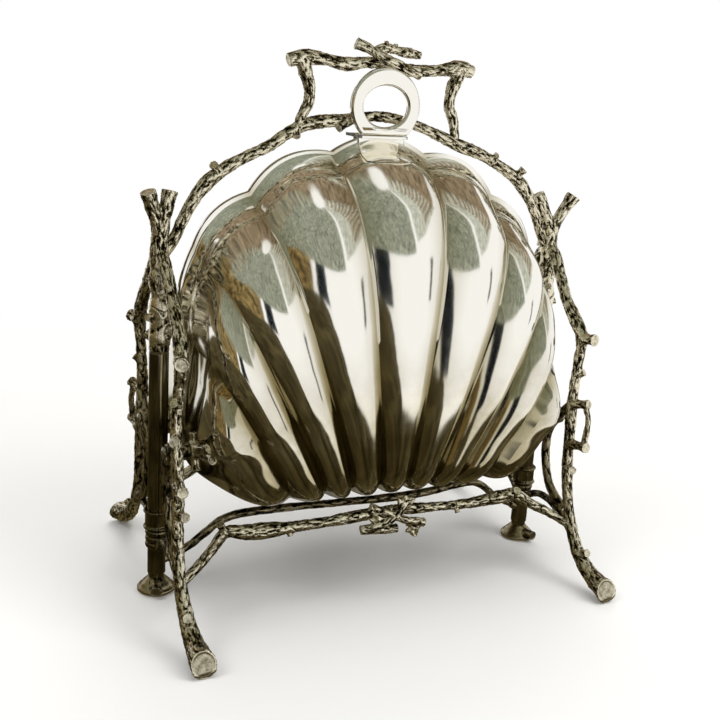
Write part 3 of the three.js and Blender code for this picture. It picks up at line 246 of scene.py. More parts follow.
def smoothLine(line, count=240):
    # Catmull-Rom through the points
    line = np.array(line, float)
    padded = np.vstack([2 * line[0] - line[1], line, 2 * line[-1] - line[-2]])
    spans = len(line) - 1
    result = []
    for place in np.linspace(0, spans, count):
        k = min(int(place), spans - 1)
        t = place - k
        a, b, c, d = padded[k:k + 4]
        result.append(0.5 * (2 * b + (c - a) * t + (2 * a - 5 * b + 4 * c - d) * t ** 2
                             + (3 * b - a - 3 * c + d) * t ** 3))
    return np.array(result)


def pointWhere(line, axis, value):
    points = smoothLine(line)
    return points[np.argmin(np.abs(points[:, axis] - value))]


# ---- cast branches: a Geometry Nodes tree grows bark along any line
castLook = {"voxelMm": 0.4, "barkDepthMm": 0.65, "ridgeMm": 1.5, "stretch": 2.6, "gnarl": 0.22,
            "cutDepthMm": 0.35}
smoothLook = {"barkDepthMm": 0.35, "ridgeMm": 2.2, "gnarl": 0.1}


def castBranchTree():
    tree = bpy.data.node_groups.new("castBranch", "GeometryNodeTree")
    sockets = [("Lines", "NodeSocketGeometry"), ("Voxel", "NodeSocketFloat"), ("Bark Depth", "NodeSocketFloat"),
               ("Ridge Width", "NodeSocketFloat"), ("Ridge Stretch", "NodeSocketFloat"), ("Gnarl", "NodeSocketFloat"),
               ("Cut Depth", "NodeSocketFloat"), ("Seed", "NodeSocketFloat"), ("Cutters", "NodeSocketBool"),
               ("Material", "NodeSocketMaterial")]
    for name, kind in sockets:
        tree.interface.new_socket(name, in_out="INPUT", socket_type=kind)
    tree.interface.new_socket("Casting", in_out="OUTPUT", socket_type="NodeSocketGeometry")
    given = addNode(tree, "NodeGroupInput").outputs

    def mathNode(operation, *values, clamp=False):
        return addNode(tree, "ShaderNodeMath", dict(enumerate(values)), operation=operation, use_clamp=clamp).outputs[0]

    def vectorNode(operation, *values, out="Vector"):
        return addNode(tree, "ShaderNodeVectorMath", dict(enumerate(values)), operation=operation).outputs[out]

    def mapped(value, low, high, start=0.0, end=1.0):
        return addNode(tree, "ShaderNodeMapRange", {"Value": value, "From Min": low, "From Max": high,
                       "To Min": start, "To Max": end}, interpolation_type="SMOOTHSTEP").outputs["Result"]

    def attribute(name, kind="FLOAT"):
        return addNode(tree, "GeometryNodeInputNamedAttribute", {"Name": name}, data_type=kind).outputs["Attribute"]

    def stored(geometry, name, value, kind="FLOAT"):
        return addNode(tree, "GeometryNodeStoreNamedAttribute", {"Geometry": geometry, "Name": name, "Value": value},
                       data_type=kind, domain="POINT").outputs["Geometry"]

    # the input mesh holds the centrelines (kind 0), solids to add (1) and solids to cut away (2)
    kind = attribute("kind")
    split = addNode(tree, "GeometryNodeSeparateGeometry", {"Geometry": given["Lines"],
                    "Selection": mathNode("LESS_THAN", kind, 0.5)}, domain="POINT")
    solids = addNode(tree, "GeometryNodeSeparateGeometry", {"Geometry": split.outputs["Inverted"],
                     "Selection": mathNode("LESS_THAN", kind, 1.5)}, domain="POINT")
    curves = addNode(tree, "GeometryNodeMeshToCurve", {"Mesh": split.outputs["Selection"]}).outputs[0]
    curves = addNode(tree, "GeometryNodeCurveSplineType", {"Curve": curves}, spline_type="CATMULL_ROM").outputs[0]
    curves = addNode(tree, "GeometryNodeSetCurveRadius", {"Curve": curves, "Radius": attribute("girth")}).outputs[0]
    curves = addNode(tree, "GeometryNodeResampleCurve", {"Curve": curves, "Length": 0.8 * mm}, mode="LENGTH").outputs[0]
    place = addNode(tree, "GeometryNodeInputPosition").outputs[0]
    swell = addNode(tree, "ShaderNodeTexNoise", {"Vector": place, "W": given["Seed"], "Scale": 1 / (6 * mm),
                    "Detail": 1.0}, noise_dimensions="4D").outputs["Fac"]
    gnarled = mathNode("MULTIPLY_ADD", mathNode("SUBTRACT", swell, 0.5), given["Gnarl"], 1.0)
    radius = addNode(tree, "GeometryNodeInputRadius").outputs[0]
    curves = addNode(tree, "GeometryNodeSetCurveRadius", {"Curve": curves,
                     "Radius": mathNode("MULTIPLY", radius, gnarled)}).outputs[0]
    circle = addNode(tree, "GeometryNodeCurvePrimitiveCircle", {"Resolution": 20, "Radius": 1.0}).outputs[0]
    tubes = addNode(tree, "GeometryNodeCurveToMesh", {"Curve": curves, "Profile Curve": circle, "Scale": radius,
                    "Fill Caps": True}).outputs[0]
    body = addNode(tree, "GeometryNodeJoinGeometry")
    tree.links.new(tubes, body.inputs[0])
    tree.links.new(solids.outputs["Selection"], body.inputs[0])
    grid = addNode(tree, "GeometryNodeMeshToSDFGrid", {"Mesh": body.outputs[0], "Voxel Size": given["Voxel"]}).outputs[0]
    away = addNode(tree, "GeometryNodeMeshToSDFGrid", {"Mesh": solids.outputs["Inverted"],
                   "Voxel Size": given["Voxel"]}).outputs[0]
    trimmed = addNode(tree, "GeometryNodeSDFGridBoolean", {"Grid 1": grid}, operation="DIFFERENCE")
    tree.links.new(away, trimmed.inputs["Grid 2"])
    whole = addNode(tree, "GeometryNodeGridToMesh", {"Grid": grid, "Threshold": 0.0}).outputs[0]
    cut = addNode(tree, "GeometryNodeGridToMesh", {"Grid": trimmed.outputs[0], "Threshold": 0.0}).outputs[0]
    skin = addNode(tree, "GeometryNodeSwitch", {"Switch": given["Cutters"], "False": whole, "True": cut},
                   input_type="GEOMETRY").outputs[0]
    eased = addNode(tree, "GeometryNodeBlurAttribute", {"Value": place, "Iterations": 1},
                    data_type="FLOAT_VECTOR").outputs[0]
    skin = addNode(tree, "GeometryNodeSetPosition", {"Geometry": skin, "Position": eased}).outputs[0]

    # every skin point reads the nearest point of the centreline
    parameter = addNode(tree, "GeometryNodeSplineParameter")
    curves = stored(curves, "along", parameter.outputs["Length"])
    line = addNode(tree, "GeometryNodeCurveToPoints", {"Curve": curves}, mode="EVALUATED")
    points = stored(line.outputs["Points"], "axis", line.outputs["Tangent"], "FLOAT_VECTOR")
    points = stored(points, "side", line.outputs["Normal"], "FLOAT_VECTOR")
    nearest = addNode(tree, "GeometryNodeSampleNearest", {"Geometry": points}, domain="POINT").outputs[0]

    def sampled(value, kind="FLOAT"):
        return addNode(tree, "GeometryNodeSampleIndex", {"Geometry": points, "Value": value, "Index": nearest},
                       data_type=kind, domain="POINT").outputs[0]

    centre = sampled(place, "FLOAT_VECTOR")
    axis = sampled(attribute("axis", "FLOAT_VECTOR"), "FLOAT_VECTOR")
    side = sampled(attribute("side", "FLOAT_VECTOR"), "FLOAT_VECTOR")
    along = sampled(attribute("along"))
    girth = sampled(radius)
    offset = vectorNode("SUBTRACT", place, centre)
    other = vectorNode("CROSS_PRODUCT", axis, side)
    run = addNode(tree, "ShaderNodeCombineXYZ", {
        "X": mathNode("DIVIDE", vectorNode("DOT_PRODUCT", offset, side, out="Value"), given["Ridge Width"]),
        "Y": mathNode("DIVIDE", vectorNode("DOT_PRODUCT", offset, other, out="Value"), given["Ridge Width"]),
        "Z": mathNode("DIVIDE", along, mathNode("MULTIPLY", given["Ridge Width"], given["Ridge Stretch"]))}).outputs[0]
    ridges = addNode(tree, "ShaderNodeTexNoise", {"Vector": run, "W": given["Seed"], "Scale": 1.0, "Detail": 3.0,
                     "Roughness": 0.6, "Distortion": 0.9}, noise_dimensions="4D").outputs["Fac"]
    cracks = addNode(tree, "ShaderNodeTexVoronoi", {"Vector": run, "W": given["Seed"], "Scale": 0.55,
                     "Randomness": 1.0}, voronoi_dimensions="4D", feature="DISTANCE_TO_EDGE").outputs["Distance"]
    rough = mathNode("MULTIPLY_ADD", mapped(ridges, 0.36, 0.62), 0.68,
                     mathNode("MULTIPLY", mapped(cracks, 0.02, 0.22), 0.32))

    # cut ends: a bright rim round a lower, grainy face
    normal = addNode(tree, "GeometryNodeInputNormal").outputs[0]
    facing = mathNode("ABSOLUTE", vectorNode("DOT_PRODUCT", normal, axis, out="Value"))
    lift = vectorNode("DOT_PRODUCT", offset, axis, out="Value")
    scaled = addNode(tree, "ShaderNodeVectorMath", {0: axis, "Scale": lift}, operation="SCALE").outputs[0]
    reach = vectorNode("LENGTH", vectorNode("SUBTRACT", offset, scaled), out="Value")
    share = mathNode("DIVIDE", reach, girth)
    onCut = mathNode("MULTIPLY", mapped(facing, 0.6, 0.85), mapped(share, 1.12, 1.0))
    barked = mathNode("MULTIPLY", mathNode("SUBTRACT", 1.0, onCut), mapped(share, 1.7, 1.4))
    grain = addNode(tree, "ShaderNodeTexNoise", {"Vector": place, "Scale": 1 / (2.2 * mm), "Detail": 2.0}).outputs["Fac"]
    hollowed = mathNode("MULTIPLY", onCut, mapped(share, 0.86, 0.7))
    down = mathNode("MULTIPLY", mathNode("MULTIPLY", hollowed, given["Cut Depth"]), mapped(grain, 0.2, 0.7, 1.0, 0.8))
    barkHeight = mathNode("MULTIPLY", mathNode("MULTIPLY", mathNode("SUBTRACT", rough, 0.85), given["Bark Depth"]), barked)
    height = mathNode("SUBTRACT", barkHeight, down)
    relief = mathNode("ADD", mathNode("MULTIPLY", rough, barked),
                      mathNode("MULTIPLY", mathNode("SUBTRACT", 1.0, barked),
                               mathNode("SUBTRACT", 0.85, mathNode("MULTIPLY", hollowed, mapped(grain, 0.3, 0.7, 0.34, 0.2)))))
    moved = addNode(tree, "ShaderNodeVectorMath", {0: normal, "Scale": height}, operation="SCALE").outputs[0]
    skin = stored(skin, "relief", relief)
    skin = addNode(tree, "GeometryNodeSetPosition", {"Geometry": skin, "Offset": moved}).outputs[0]
    skin = addNode(tree, "GeometryNodeSetShadeSmooth", {"Geometry": skin}).outputs[0]
    skin = addNode(tree, "GeometryNodeRealizeInstances", {"Geometry": skin}).outputs[0]
    skin = addNode(tree, "GeometryNodeSetMaterial", {"Geometry": skin, "Material": given["Material"]}).outputs[0]
    addNode(tree, "NodeGroupOutput", {"Casting": skin})
    return tree


castBranch = castBranchTree()


def limb(line, radius, girthShares, count=30):
    dense = smoothLine(line, 300)
    steps = np.concatenate([[0], np.cumsum(np.linalg.norm(np.diff(dense, axis=0), axis=1))])
    places = np.linspace(0, steps[-1], count)
    points = np.stack([np.interp(places, steps, dense[:, k]) for k in range(3)], axis=1)
    shares = np.interp(np.linspace(0, 1, count), np.linspace(0, 1, len(girthShares)), girthShares)
    return points, radius * shares


def stub(root, heading, reach, radius):
    # a cut twig: wide where it leaves the branch, flared at the cut
    heading = np.array(heading, float)
    heading /= np.linalg.norm(heading)
    shares = [0, 0.3, 0.6, 0.85, 1]
    return [np.array(root) + heading * reach * s for s in shares], [radius * g for g in (1.3, 1.12, 0.95, 1.05, 1.16)]


def blockSolid(low, high, matrix=None):
    corners = np.array([(x, y, z) for x in (low[0], high[0]) for y in (low[1], high[1]) for z in (low[2], high[2])])
    faces = [(0, 1, 3, 2), (4, 6, 7, 5), (0, 4, 5, 1), (2, 3, 7, 6), (0, 2, 6, 4), (1, 5, 7, 3)]
    if matrix is not None:
        corners = np.array([matrix @ Vector(c) for c in corners])
    return corners, faces


def rodSolid(radius, start, end, sides=32):
    start, end = Vector(start), Vector(end)
    turn = (end - start).to_track_quat("Z", "Y").to_matrix()
    points, faces = turnedAbout([(radius, 0), (radius, (end - start).length)], sides)
    return np.array([start + turn @ Vector(p) for p in points]), faces


def cast(name, body, node, slot, lines, solids=(), cutters=(), look=None, material=None, seed=0.0, voxel=None):
    look = {**castLook, **(look or {})}
    points, edges, faces, girths, kinds = [], [], [], [], []
    for line, girth in lines:
        first = len(points)
        points += [Vector(p) * mm for p in line]
        girths += [g * mm for g in girth]
        kinds += [0] * len(line)
        edges += [(k, k + 1) for k in range(first, first + len(line) - 1)]
    for kind, shapes in ((1, solids), (2, cutters)):
        for corners, shapeFaces in shapes:
            first = len(points)
            points += [Vector(p) * mm for p in corners]
            girths += [0] * len(corners)
            kinds += [kind] * len(corners)
            faces += [tuple(first + k for k in face) for face in shapeFaces]
    mesh = bpy.data.meshes.new(name)
    mesh.from_pydata(points, edges, faces)
    for label, values in (("girth", girths), ("kind", kinds)):
        mesh.attributes.new(label, "FLOAT", "POINT").data.foreach_set("value", values)
    thing = bpy.data.objects.new(name, mesh)
    bpy.context.scene.collection.objects.link(thing)
    modifier = thing.modifiers.new("bark", "NODES")
    modifier.node_group = castBranch
    values = {"Voxel": (voxel or look["voxelMm"]) * mm, "Bark Depth": look["barkDepthMm"] * mm,
              "Ridge Width": look["ridgeMm"] * mm, "Ridge Stretch": look["stretch"], "Gnarl": look["gnarl"],
              "Cut Depth": look["cutDepthMm"] * mm, "Seed": seed, "Cutters": bool(cutters),
              "Material": material or barkMaterial}
    for item in castBranch.interface.items_tree:
        if item.name in values:
            modifier[item.identifier] = values[item.name]
    settled(thing)
    for label in ("girth", "kind", "radius"):
        if label in thing.data.attributes:
            thing.data.attributes.remove(thing.data.attributes[label])
    keepInside(thing)
    return placed(thing, body, slot, node)


def keepInside(thing):
    # nothing grows past the whole object's own box
    co = np.empty(len(thing.data.vertices) * 3, np.float32)
    thing.data.vertices.foreach_get("co", co)
    co = np.clip(co.reshape(-1, 3), np.array(cadLow), np.array(cadHigh))
    thing.data.vertices.foreach_set("co", co.ravel())
    thing.data.update()


def placed(thing, body, slot, *nodes):
    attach(thing, body)
    if nodes:
        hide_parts(*nodes)
    return thing


def hand(side):
    return "left" if side < 0 else "right"


def end(face):
    return "front" if face < 0 else "back"


def aimed(point, *moves):
    return np.array(point, float) + sum(np.array(move, float) for move in moves)


# ---- crowns: forked branch tops of the posts
crowns = {"base": 131, "top": 210, "radius": 4.4, "fork": 193, "drop": 5, "armRadius": 3.5, "armReach": 11,
          "outerArms": {-1: 0.62, 1: 1}, "innerArms": {-1: 0.45, 1: 1}, "lean": 0.12,
          "girths": [1.12, 1.3, 1.15, 1.32, 1.05, 1.2, 0.95, 1.15, 1, 0.92],
          # height, heading, reach and girth in crown radii
          "knots": [[0.83, 0.1, -1, 0.25, 1.9, 0.68], [0.745, -0.35, -0.8, 0.3, 1.8, 0.45],
                    [0.78, 0.4, 0.9, 0.2, 2, 0.55], [0.66, -0.6, -0.6, 0.3, 1.75, 0.5],
                    [0.645, 0.5, 0.7, 0.35, 1.9, 0.55], [0.7, 0.9, -0.35, 0.3, 1.7, 0.42],
                    [0.86, -0.9, 0.4, 0.3, 1.7, 0.4]]}


def makeCrown(side):
    axis, r = side * halfSpacing, crowns["radius"]
    trunk = [(axis + math.sin(s * 2 * math.pi) * r * crowns["lean"], 0,
              crowns["base"] + (crowns["fork"] - crowns["base"]) * s) for s in (0, 0.25, 0.5, 0.75, 1)]
    lines = [limb(trunk, r, crowns["girths"], 30)]
    for arm in (-1, 1):
        reach = crowns["armReach"] * crowns["outerArms" if arm == side else "innerArms"][side]
        line = [(axis, 0, crowns["fork"] - crowns["drop"]),
                (axis + arm * reach * 0.4, 0, crowns["fork"] + crowns["drop"]),
                (axis + arm * reach, -arm * side * crowns["armRadius"] * 0.6, crowns["top"])]
        lines.append(limb(line, crowns["armRadius"], [1.1, 1, 0.95, 1.05, 1.25], 14))
    for height, x, y, z, reach, girth in crowns["knots"]:
        lines.append(stub((axis, 0, height * crowns["top"]), (side * x, y, z), reach * r, girth * r))
    name = f"{hand(side)}_crown"
    cast(f"cast_{name}", "stand", name, "cast_branch_silver", lines, look={"gnarl": 0.3}, seed=side * 1.7)


# ---- legs of the two end frames
legs = {"reach": 89, "radius": 3.4, "fork": 181, "sole": 7, "wiggle": 2, "cutLean": 18,
        "line": [[0, 1], [0.08, 0.975], [0.17, 0.92], [0.275, 0.857], [0.38, 0.806], [0.447, 0.757],
                 [0.43, 0.685], [0.422, 0.60], [0.434, 0.535], [0.454, 0.458], [0.48, 0.38], [0.51, 0.30],
                 [0.557, 0.226], [0.63, 0.155], [0.735, 0.091], [0.87, 0.052], [1.02, 0.032]],
        "sways": {-1: [0, 0.1, 0.5, 0.9, 0.6, 0.2, 0, -0.3, -0.5, -0.3, -0.4, -0.7, -1, -1, -0.7, -0.3, 0],
                  1: [0, 0.1, 0.5, 0.9, 0.6, 0, -0.5, -0.4, 0, 0.3, 0.8, 1, 1.1, 1.2, 1, 0.4, 0]},
        "girths": [1.05, 1, 0.95, 1, 1.15, 0.9, 0.85, 0.9, 1, 0.9, 0.95, 0.92, 0.95, 1, 1.15, 1.5, 2],
        # height, heading, reach and girth in leg radii
        "knots": [[0.757, 0.25, -1, 0.1, 2.7, 0.95], [0.63, 0.5, -0.6, 0.5, 1.6, 0.6],
                  [0.54, 0.35, -1, 0.25, 3.3, 0.75], [0.42, 0.1, -1, 0.15, 4.2, 0.78],
                  [0.345, -0.25, -1, 0.1, 2.2, 0.7], [0.1, 0.2, -1, 0.5, 2, 0.66]],
        "loop": [[0.8, 2.4, 0.6], [0.9, 3.6, -2], [0.4, 3.4, 0.6]]}


def legLine(side, face):
    return [(side * (halfSpacing + face * legs["wiggle"] * sway), face * reach * legs["reach"],
             max(height * legs["fork"], legs["sole"]))
            for (reach, height), sway in zip(legs["line"], legs["sways"][side])]


def makeLeg(side, face):
    line = legLine(side, face)
    r = legs["radius"]
    lines = [limb(line, r, legs["girths"], 48)]
    roots = []
    for height, x, y, z, reach, girth in legs["knots"]:
        root = pointWhere(line, 2, height * legs["fork"])
        roots.append(root)
        lines.append(stub(root, (side * x, -face * y, z), reach * r, girth * r))
    anchors = [roots[2], roots[2], roots[3]]
    loop = [aimed(a, (side * x * r, face * y * r, z * r)) for a, (x, y, z) in zip(anchors, legs["loop"])]
    lines.append(limb(loop, r, [0.55, 0.5, 0.6], 12))
    turn = Matrix.Translation((side * halfSpacing, face * legs["reach"], legs["sole"])) @ Matrix.Rotation(
        face * math.radians(legs["cutLean"]), 4, "X")
    cutters = [blockSolid((-14, min(0, face * 20), -26), (14, max(0, face * 20), 26), turn),
               blockSolid((side * halfSpacing - 20, face * 70 - 30, -12), (side * halfSpacing + 20, face * 70 + 30, 0))]
    name = f"{hand(side)}_{end(face)}_leg"
    cast(f"cast_{name}", "stand", name, "cast_branch_silver", lines, cutters=cutters, seed=side * 2.3 + face * 5.1)


# ---- struts with their bored bosses, and the low ties
struts = {"radius": 2.7, "foot": 37.0, "top": 97, "belly": 19, "pivot": 87, "pivotReach": 26, "boss": 4.6,
          "bossLength": 6, "bore": 1.95, "headBore": 3.35,
          "line": [[1, 1.02], [0.74, 0.94], [0.37, 0.83], [0.06, 0.68], [0, 0.5], [0.1, 0.31], [0.42, 0.12],
                   [1.1, -0.02]],
          "girths": [1, 1.05, 1.25, 1, 0.95, 0.95, 1, 1.15]}
ties = {"radius": 2.3, "post": 22, "leg": 27.0, "rise": 12, "girths": [1.1, 0.95, 0.95, 1, 1, 1.15],
        "line": [[0, 0], [0.16, 0.66], [0.34, 0.98], [0.55, 0.94], [0.78, 0.56], [1, 0]]}


def makeStrut(side, face):
    reach = abs(pointWhere(legLine(side, face), 2, struts["top"])[1]) - struts["belly"]
    line = [(side * halfSpacing, face * (struts["belly"] + out * reach),
             struts["foot"] + (struts["top"] - struts["foot"]) * height) for out, height in struts["line"]]
    lines = [limb(line, struts["radius"], struts["girths"], 30)]
    y, z = face * struts["pivotReach"], struts["pivot"]
    inner, outer = side * (halfSpacing - struts["radius"] - struts["bossLength"]), side * (halfSpacing + struts["radius"])
    lips = [(0, 0.9), (0.1, 1), (0.3, 1), (0.42, 0.9), (0.56, 0.9), (0.7, 1), (0.9, 1), (1, 0.9)]
    lines.append(([(inner + (outer - inner) * s, y, z) for s, g in lips], [struts["boss"] * g for s, g in lips]))
    cutters = [rodSolid(struts["bore"], (inner - side * 9, y, z), (outer + side, y, z)),
               rodSolid(struts["headBore"], (outer, y, z), (outer + side * 9, y, z))]
    name = f"{hand(side)}_{end(face)}_strut"
    cast(f"cast_{name}", "stand", name, "cast_branch_silver", lines, cutters=cutters, look=smoothLook,
         material=darkBarkMaterial, seed=side * 3.1 + face * 1.9)


def makeTie(side, face):
    root, leg = np.array([side * halfSpacing, 0, ties["post"]]), pointWhere(legLine(side, face), 2, ties["leg"])
    line = [root + (leg - root) * along + np.array([0, 0, lift * ties["rise"]]) for along, lift in ties["line"]]
    name = f"{hand(side)}_{end(face)}_tie"
    cast(f"cast_{name}", "stand", name, "cast_branch_silver", [limb(line, ties["radius"], ties["girths"], 20)],
         look=smoothLook, material=darkBarkMaterial, seed=side * 4.7 + face * 2.9)


# ---- arch, carrying grip and its twig
arch = {"radius": 3.1, "bow": 1.5, "top": 249, "foot": 87,
        "line": [[-1, .559], [-.938, .623], [-.892, .693], [-.83, .763], [-.752, .815], [-.64, .862], [-.53, .898],
                 [-.44, .94], [-.34, .971], [-.16, .986], [0, 1], [.18, .978], [.32, .944], [.427, .917],
                 [.53, .895], [.64, .86], [.752, .815], [.83, .761], [.892, .692], [.938, .623], [1, .559]],
        "girths": [1, 0.95, 1, 1.25, 1, 0.95, 1, 1.15, 1.05, 0.9, 0.95, 0.9, 1, 1.2, 1, 1, 1.25, 1, 0.95, 1],
        # half spacing, heading, reach and girth in arch radii
        "knots": [[-0.752, -0.6, -0.5, 0.7, 2.1, 0.7], [0.75, 0.55, -0.4, 0.8, 2.2, 0.75],
                  [-0.12, -1, -0.35, -0.5, 3.6, 0.7], [0.6, 0.3, -0.7, 0.6, 1.7, 0.55],
                  [-0.4, -0.2, -0.6, -0.8, 1.8, 0.6]]}
grip = {"radius": 3.1, "half": 44, "root": 245, "height": 274, "rootShare": 1.02,
        "stem": [[0.97, 0.12], [0.9, 0.35], [0.91, 0.62], [0.97, 0.86], [1, 1.03]],
        "stemGirths": [0.85, 0.9, 0.95, 1, 1.25, 1.2],
        "bar": [[-1.17, -0.1], [-0.99, 0.55], [-0.75, 0.45], [-0.45, -0.1], [-0.2, 0.35], [0.05, 0.2],
                [0.3, -0.4], [0.6, -0.35], [0.85, 0.1], [1, 0.4], [1.17, -0.1]],
        "barGirths": [1.05, 1.35, 1, 1.15, 0.95, 1, 1.1, 1, 1, 1.35, 1.1]}
spur = {"radius": 2.5, "top": 284, "budReach": 1.7, "budGirth": 0.55,
        "line": [[-0.36, 1, -0.3], [-0.2, 0.75, -1], [-0.05, 0.42, -1.7], [0.12, 0.16, -1.9], [0.29, -0.15, -1.7],
                 [0.46, -0.4, -1.3]],
        "branch": [[-0.16, 0.62, -0.8], [0.02, 0.85, -0.3], [0.2, 0.75, -0.2], [0.36, 0.68, 0], [0.48, 0.62, 0.1]],
        "buds": [[0.02, 0.8, -0.1, -0.5, 1], [0.16, 0.7, 0.2, 0.6, 1], [0.3, 0.6, 0.3, -0.7, 0.7],
                 [0.36, 0.56, 0.2, 0.8, 0.4]]}


def bowAt(x):
    return arch["bow"] * max(0, 1 - (x / 38.4) ** 2)


def archPoints():
    return [(along * halfSpacing, bowAt(along * halfSpacing), arch["foot"] + (arch["top"] - arch["foot"]) * rise)
            for along, rise in arch["line"]]


def makeArch():
    line, r = archPoints(), arch["radius"]
    lines = [limb(line, r, arch["girths"], 70)]
    for along, x, y, z, reach, girth in arch["knots"]:
        lines.append(stub(pointWhere(line, 0, along * halfSpacing), (x, y, z), reach * r, girth * r))
    cast("cast_arch_bow", "stand", "arch_bow", "cast_branch_silver", lines, seed=6.0)


def makeGrip():
    r, half = grip["radius"], grip["half"]
    lines = []
    for side in (-1, 1):
        stem = [pointWhere(archPoints(), 0, side * grip["rootShare"] * half)]
        stem += [(side * along * half, 0, grip["root"] + (grip["height"] - grip["root"]) * rise)
                 for along, rise in grip["stem"]]
        lines.append(limb(stem, r, grip["stemGirths"], 16))
    bar = [(along * half, bowAt(along * half), grip["height"] + lift * r) for along, lift in grip["bar"]]
    lines.append(limb(bar, r, grip["barGirths"], 40))
    cast("cast_carrying_grip", "stand", "carrying_grip", "cast_branch_silver", lines, seed=8.0)

    def place(point):
        along, rise, offset = point
        return np.array([along * half, arch["bow"] + offset * spur["radius"],
                         grip["height"] + (spur["top"] - grip["height"]) * rise])

    r = spur["radius"]
    lines = [limb([place(p) for p in spur["line"]], r, [1.25, 1, 1, 1.05, 1, 0.8], 24),
             limb([place(p) for p in spur["branch"]], r, [0.9, 1.15, 0.85, 1.2, 0.8], 16)]
    for along, rise, x, y, z in spur["buds"]:
        lines.append(stub(place((along, rise, 0)), (x, y, z), spur["budReach"] * r, spur["budGirth"] * r))
    cast("cast_grip_twig", "stand", "grip_twig", "cast_branch_silver", lines, seed=9.0, voxel=0.34)


# ---- rails, the leaf sprigs on them, and the rail between the post feet
rails = {"radius": 2.9, "height": 48.5, "reach": 44.0, "end": 0.63,
         "line": [[-0.93, 0.71, 1.08], [-0.86, 0.85, 1.02], [-0.795, 1.02, 1], [-0.7, 0.99, 1],
                  [-0.5, 0.98, 1], [-0.25, 1, 1.01], [0, 1.03, 1], [0.2, 1, 0.99], [0.42, 0.99, 1],
                  [0.6, 1.02, 1], [0.68, 1.03, 1], [0.78, 0.89, 1.02], [0.88, 0.77, 1.07]],
         "girths": [0.85, 0.9, 1.05, 1.6, 1.05, 0.95, 1.2, 0.95, 1.1, 0.9, 1, 1.35, 1.1, 0.95, 0.85],
         # half spacing, heading, reach and girth in rail radii
         "knots": [[-0.8, -0.5, -0.2, 1, 2.2, 0.75], [-0.5, 0.1, -0.6, -1, 1.6, 0.5],
                   [0.35, 0.1, -0.7, -1, 1.6, 0.5], [0.68, -0.2, -0.8, 0.8, 2, 0.7]]}
spine = {"radius": 2.4, "height": 37.5, "girths": [1.1, 0.95, 1, 1.1, 0.95, 0.95, 1, 1.15, 1, 0.95, 0.95, 1.1],
         "line": [[-1, 0.42], [-0.86, 0.58], [-0.77, 0.77], [-0.67, 0.96], [-0.5, 1.01], [-0.08, 0.98],
                  [0.32, 0.96], [0.64, 1.05], [0.73, 0.99], [0.83, 0.76], [0.93, 0.6], [1, 0.46]]}
sprig = {"radius": 2.2, "half": 19, "length": 10.4, "thickness": 1.2, "vein": 0.42,
         # half width, lift and depth in sprig radii
         "twigs": [[[-0.72, 2.9, -1.6], [-0.25, 1.3, -2.6], [0.3, -0.9, -2.9], [0.95, -2.6, -2.2]],
                   [[0.35, 2.7, -1.4], [0.05, 0.6, -2.9], [-0.35, -1.4, -2.9], [-1, -2.4, -2.3]],
                   [[-0.98, -2.5, -2.4], [-0.4, -2.9, -2.7], [0.1, -3, -2.4]]],
         # and its turn in half turns
         "leaves": [[-0.45, 1.9, -2.4, 0.2], [0.12, 2.2, -2.2, -0.12], [0.55, -1.3, -2.9, 0.42],
                    [-0.62, -1.3, -2.9, -0.35]],
         # length, half width: the stalk, two side lobes and the tip
         "outline": [[0, 0.05], [0.05, 0.22], [0.14, 0.4], [0.2, 0.42], [0.3, 0.26], [0.36, 0.27], [0.46, 0.45],
                     [0.53, 0.5], [0.6, 0.4], [0.66, 0.25], [0.78, 0.24], [0.9, 0.13], [1, 0.02]]}


def railLine(face):
    middle = [(-face * along * halfSpacing, face * reach * rails["reach"], height * rails["height"])
              for along, height, reach in rails["line"]]
    ends = [pointWhere(legLine(side, face), 2, rails["end"] * rails["height"]) for side in (face, -face)]
    return [ends[0], *middle, ends[1]]


def leafShape(root, turn, face):
    # a keeled leaf: rows of edge, fold and midrib points
    length, thick = sprig["length"], sprig["thickness"]
    c, s = math.cos(turn * math.pi), math.sin(turn * math.pi)

    def place(along, across, up):
        x, z = along * length, across * length
        return (root[0] - face * (x * c + z * s), root[1] + face * up, root[2] - x * s + z * c)

    points, faces = [], []
    steps = len(sprig["outline"])
    for along, half in sprig["outline"]:
        dip = 0.5 * math.sin(along * 9)
        for across, up in ((-1, -0.25), (-0.5, 0.75 + 0.3 * dip), (0, 0.15), (0.5, 0.75 - 0.3 * dip), (1, -0.25)):
            points.append(place(along, across * half, up * thick))
        for across in (-1, 1):
            points.append(place(along, across * half, -1.15 * thick))
    for k in range(steps - 1):
        a, b = 7 * k, 7 * k + 7
        faces += [(a + j, a + j + 1, b + j + 1, b + j) for j in range(4)]
        faces += [(a + 5, a, b, b + 5), (a + 4, a + 6, b + 6, b + 4), (a + 6, a + 5, b + 5, b + 6)]
    last = 7 * (steps - 1)
    faces += [(0, 5, 6, 4, 3, 2, 1), (last, last + 1, last + 2, last + 3, last + 4, last + 6, last + 5)]
    mesh = bpy.data.meshes.new("leafShape")
    mesh.from_pydata(points, [], faces)
    shape = bmesh.new()
    shape.from_mesh(mesh)
    bmesh.ops.recalc_face_normals(shape, faces=shape.faces)
    found = [tuple(v.index for v in f.verts) for f in shape.faces]
    shape.free()
    bpy.data.meshes.remove(mesh)
    return np.array(points), found


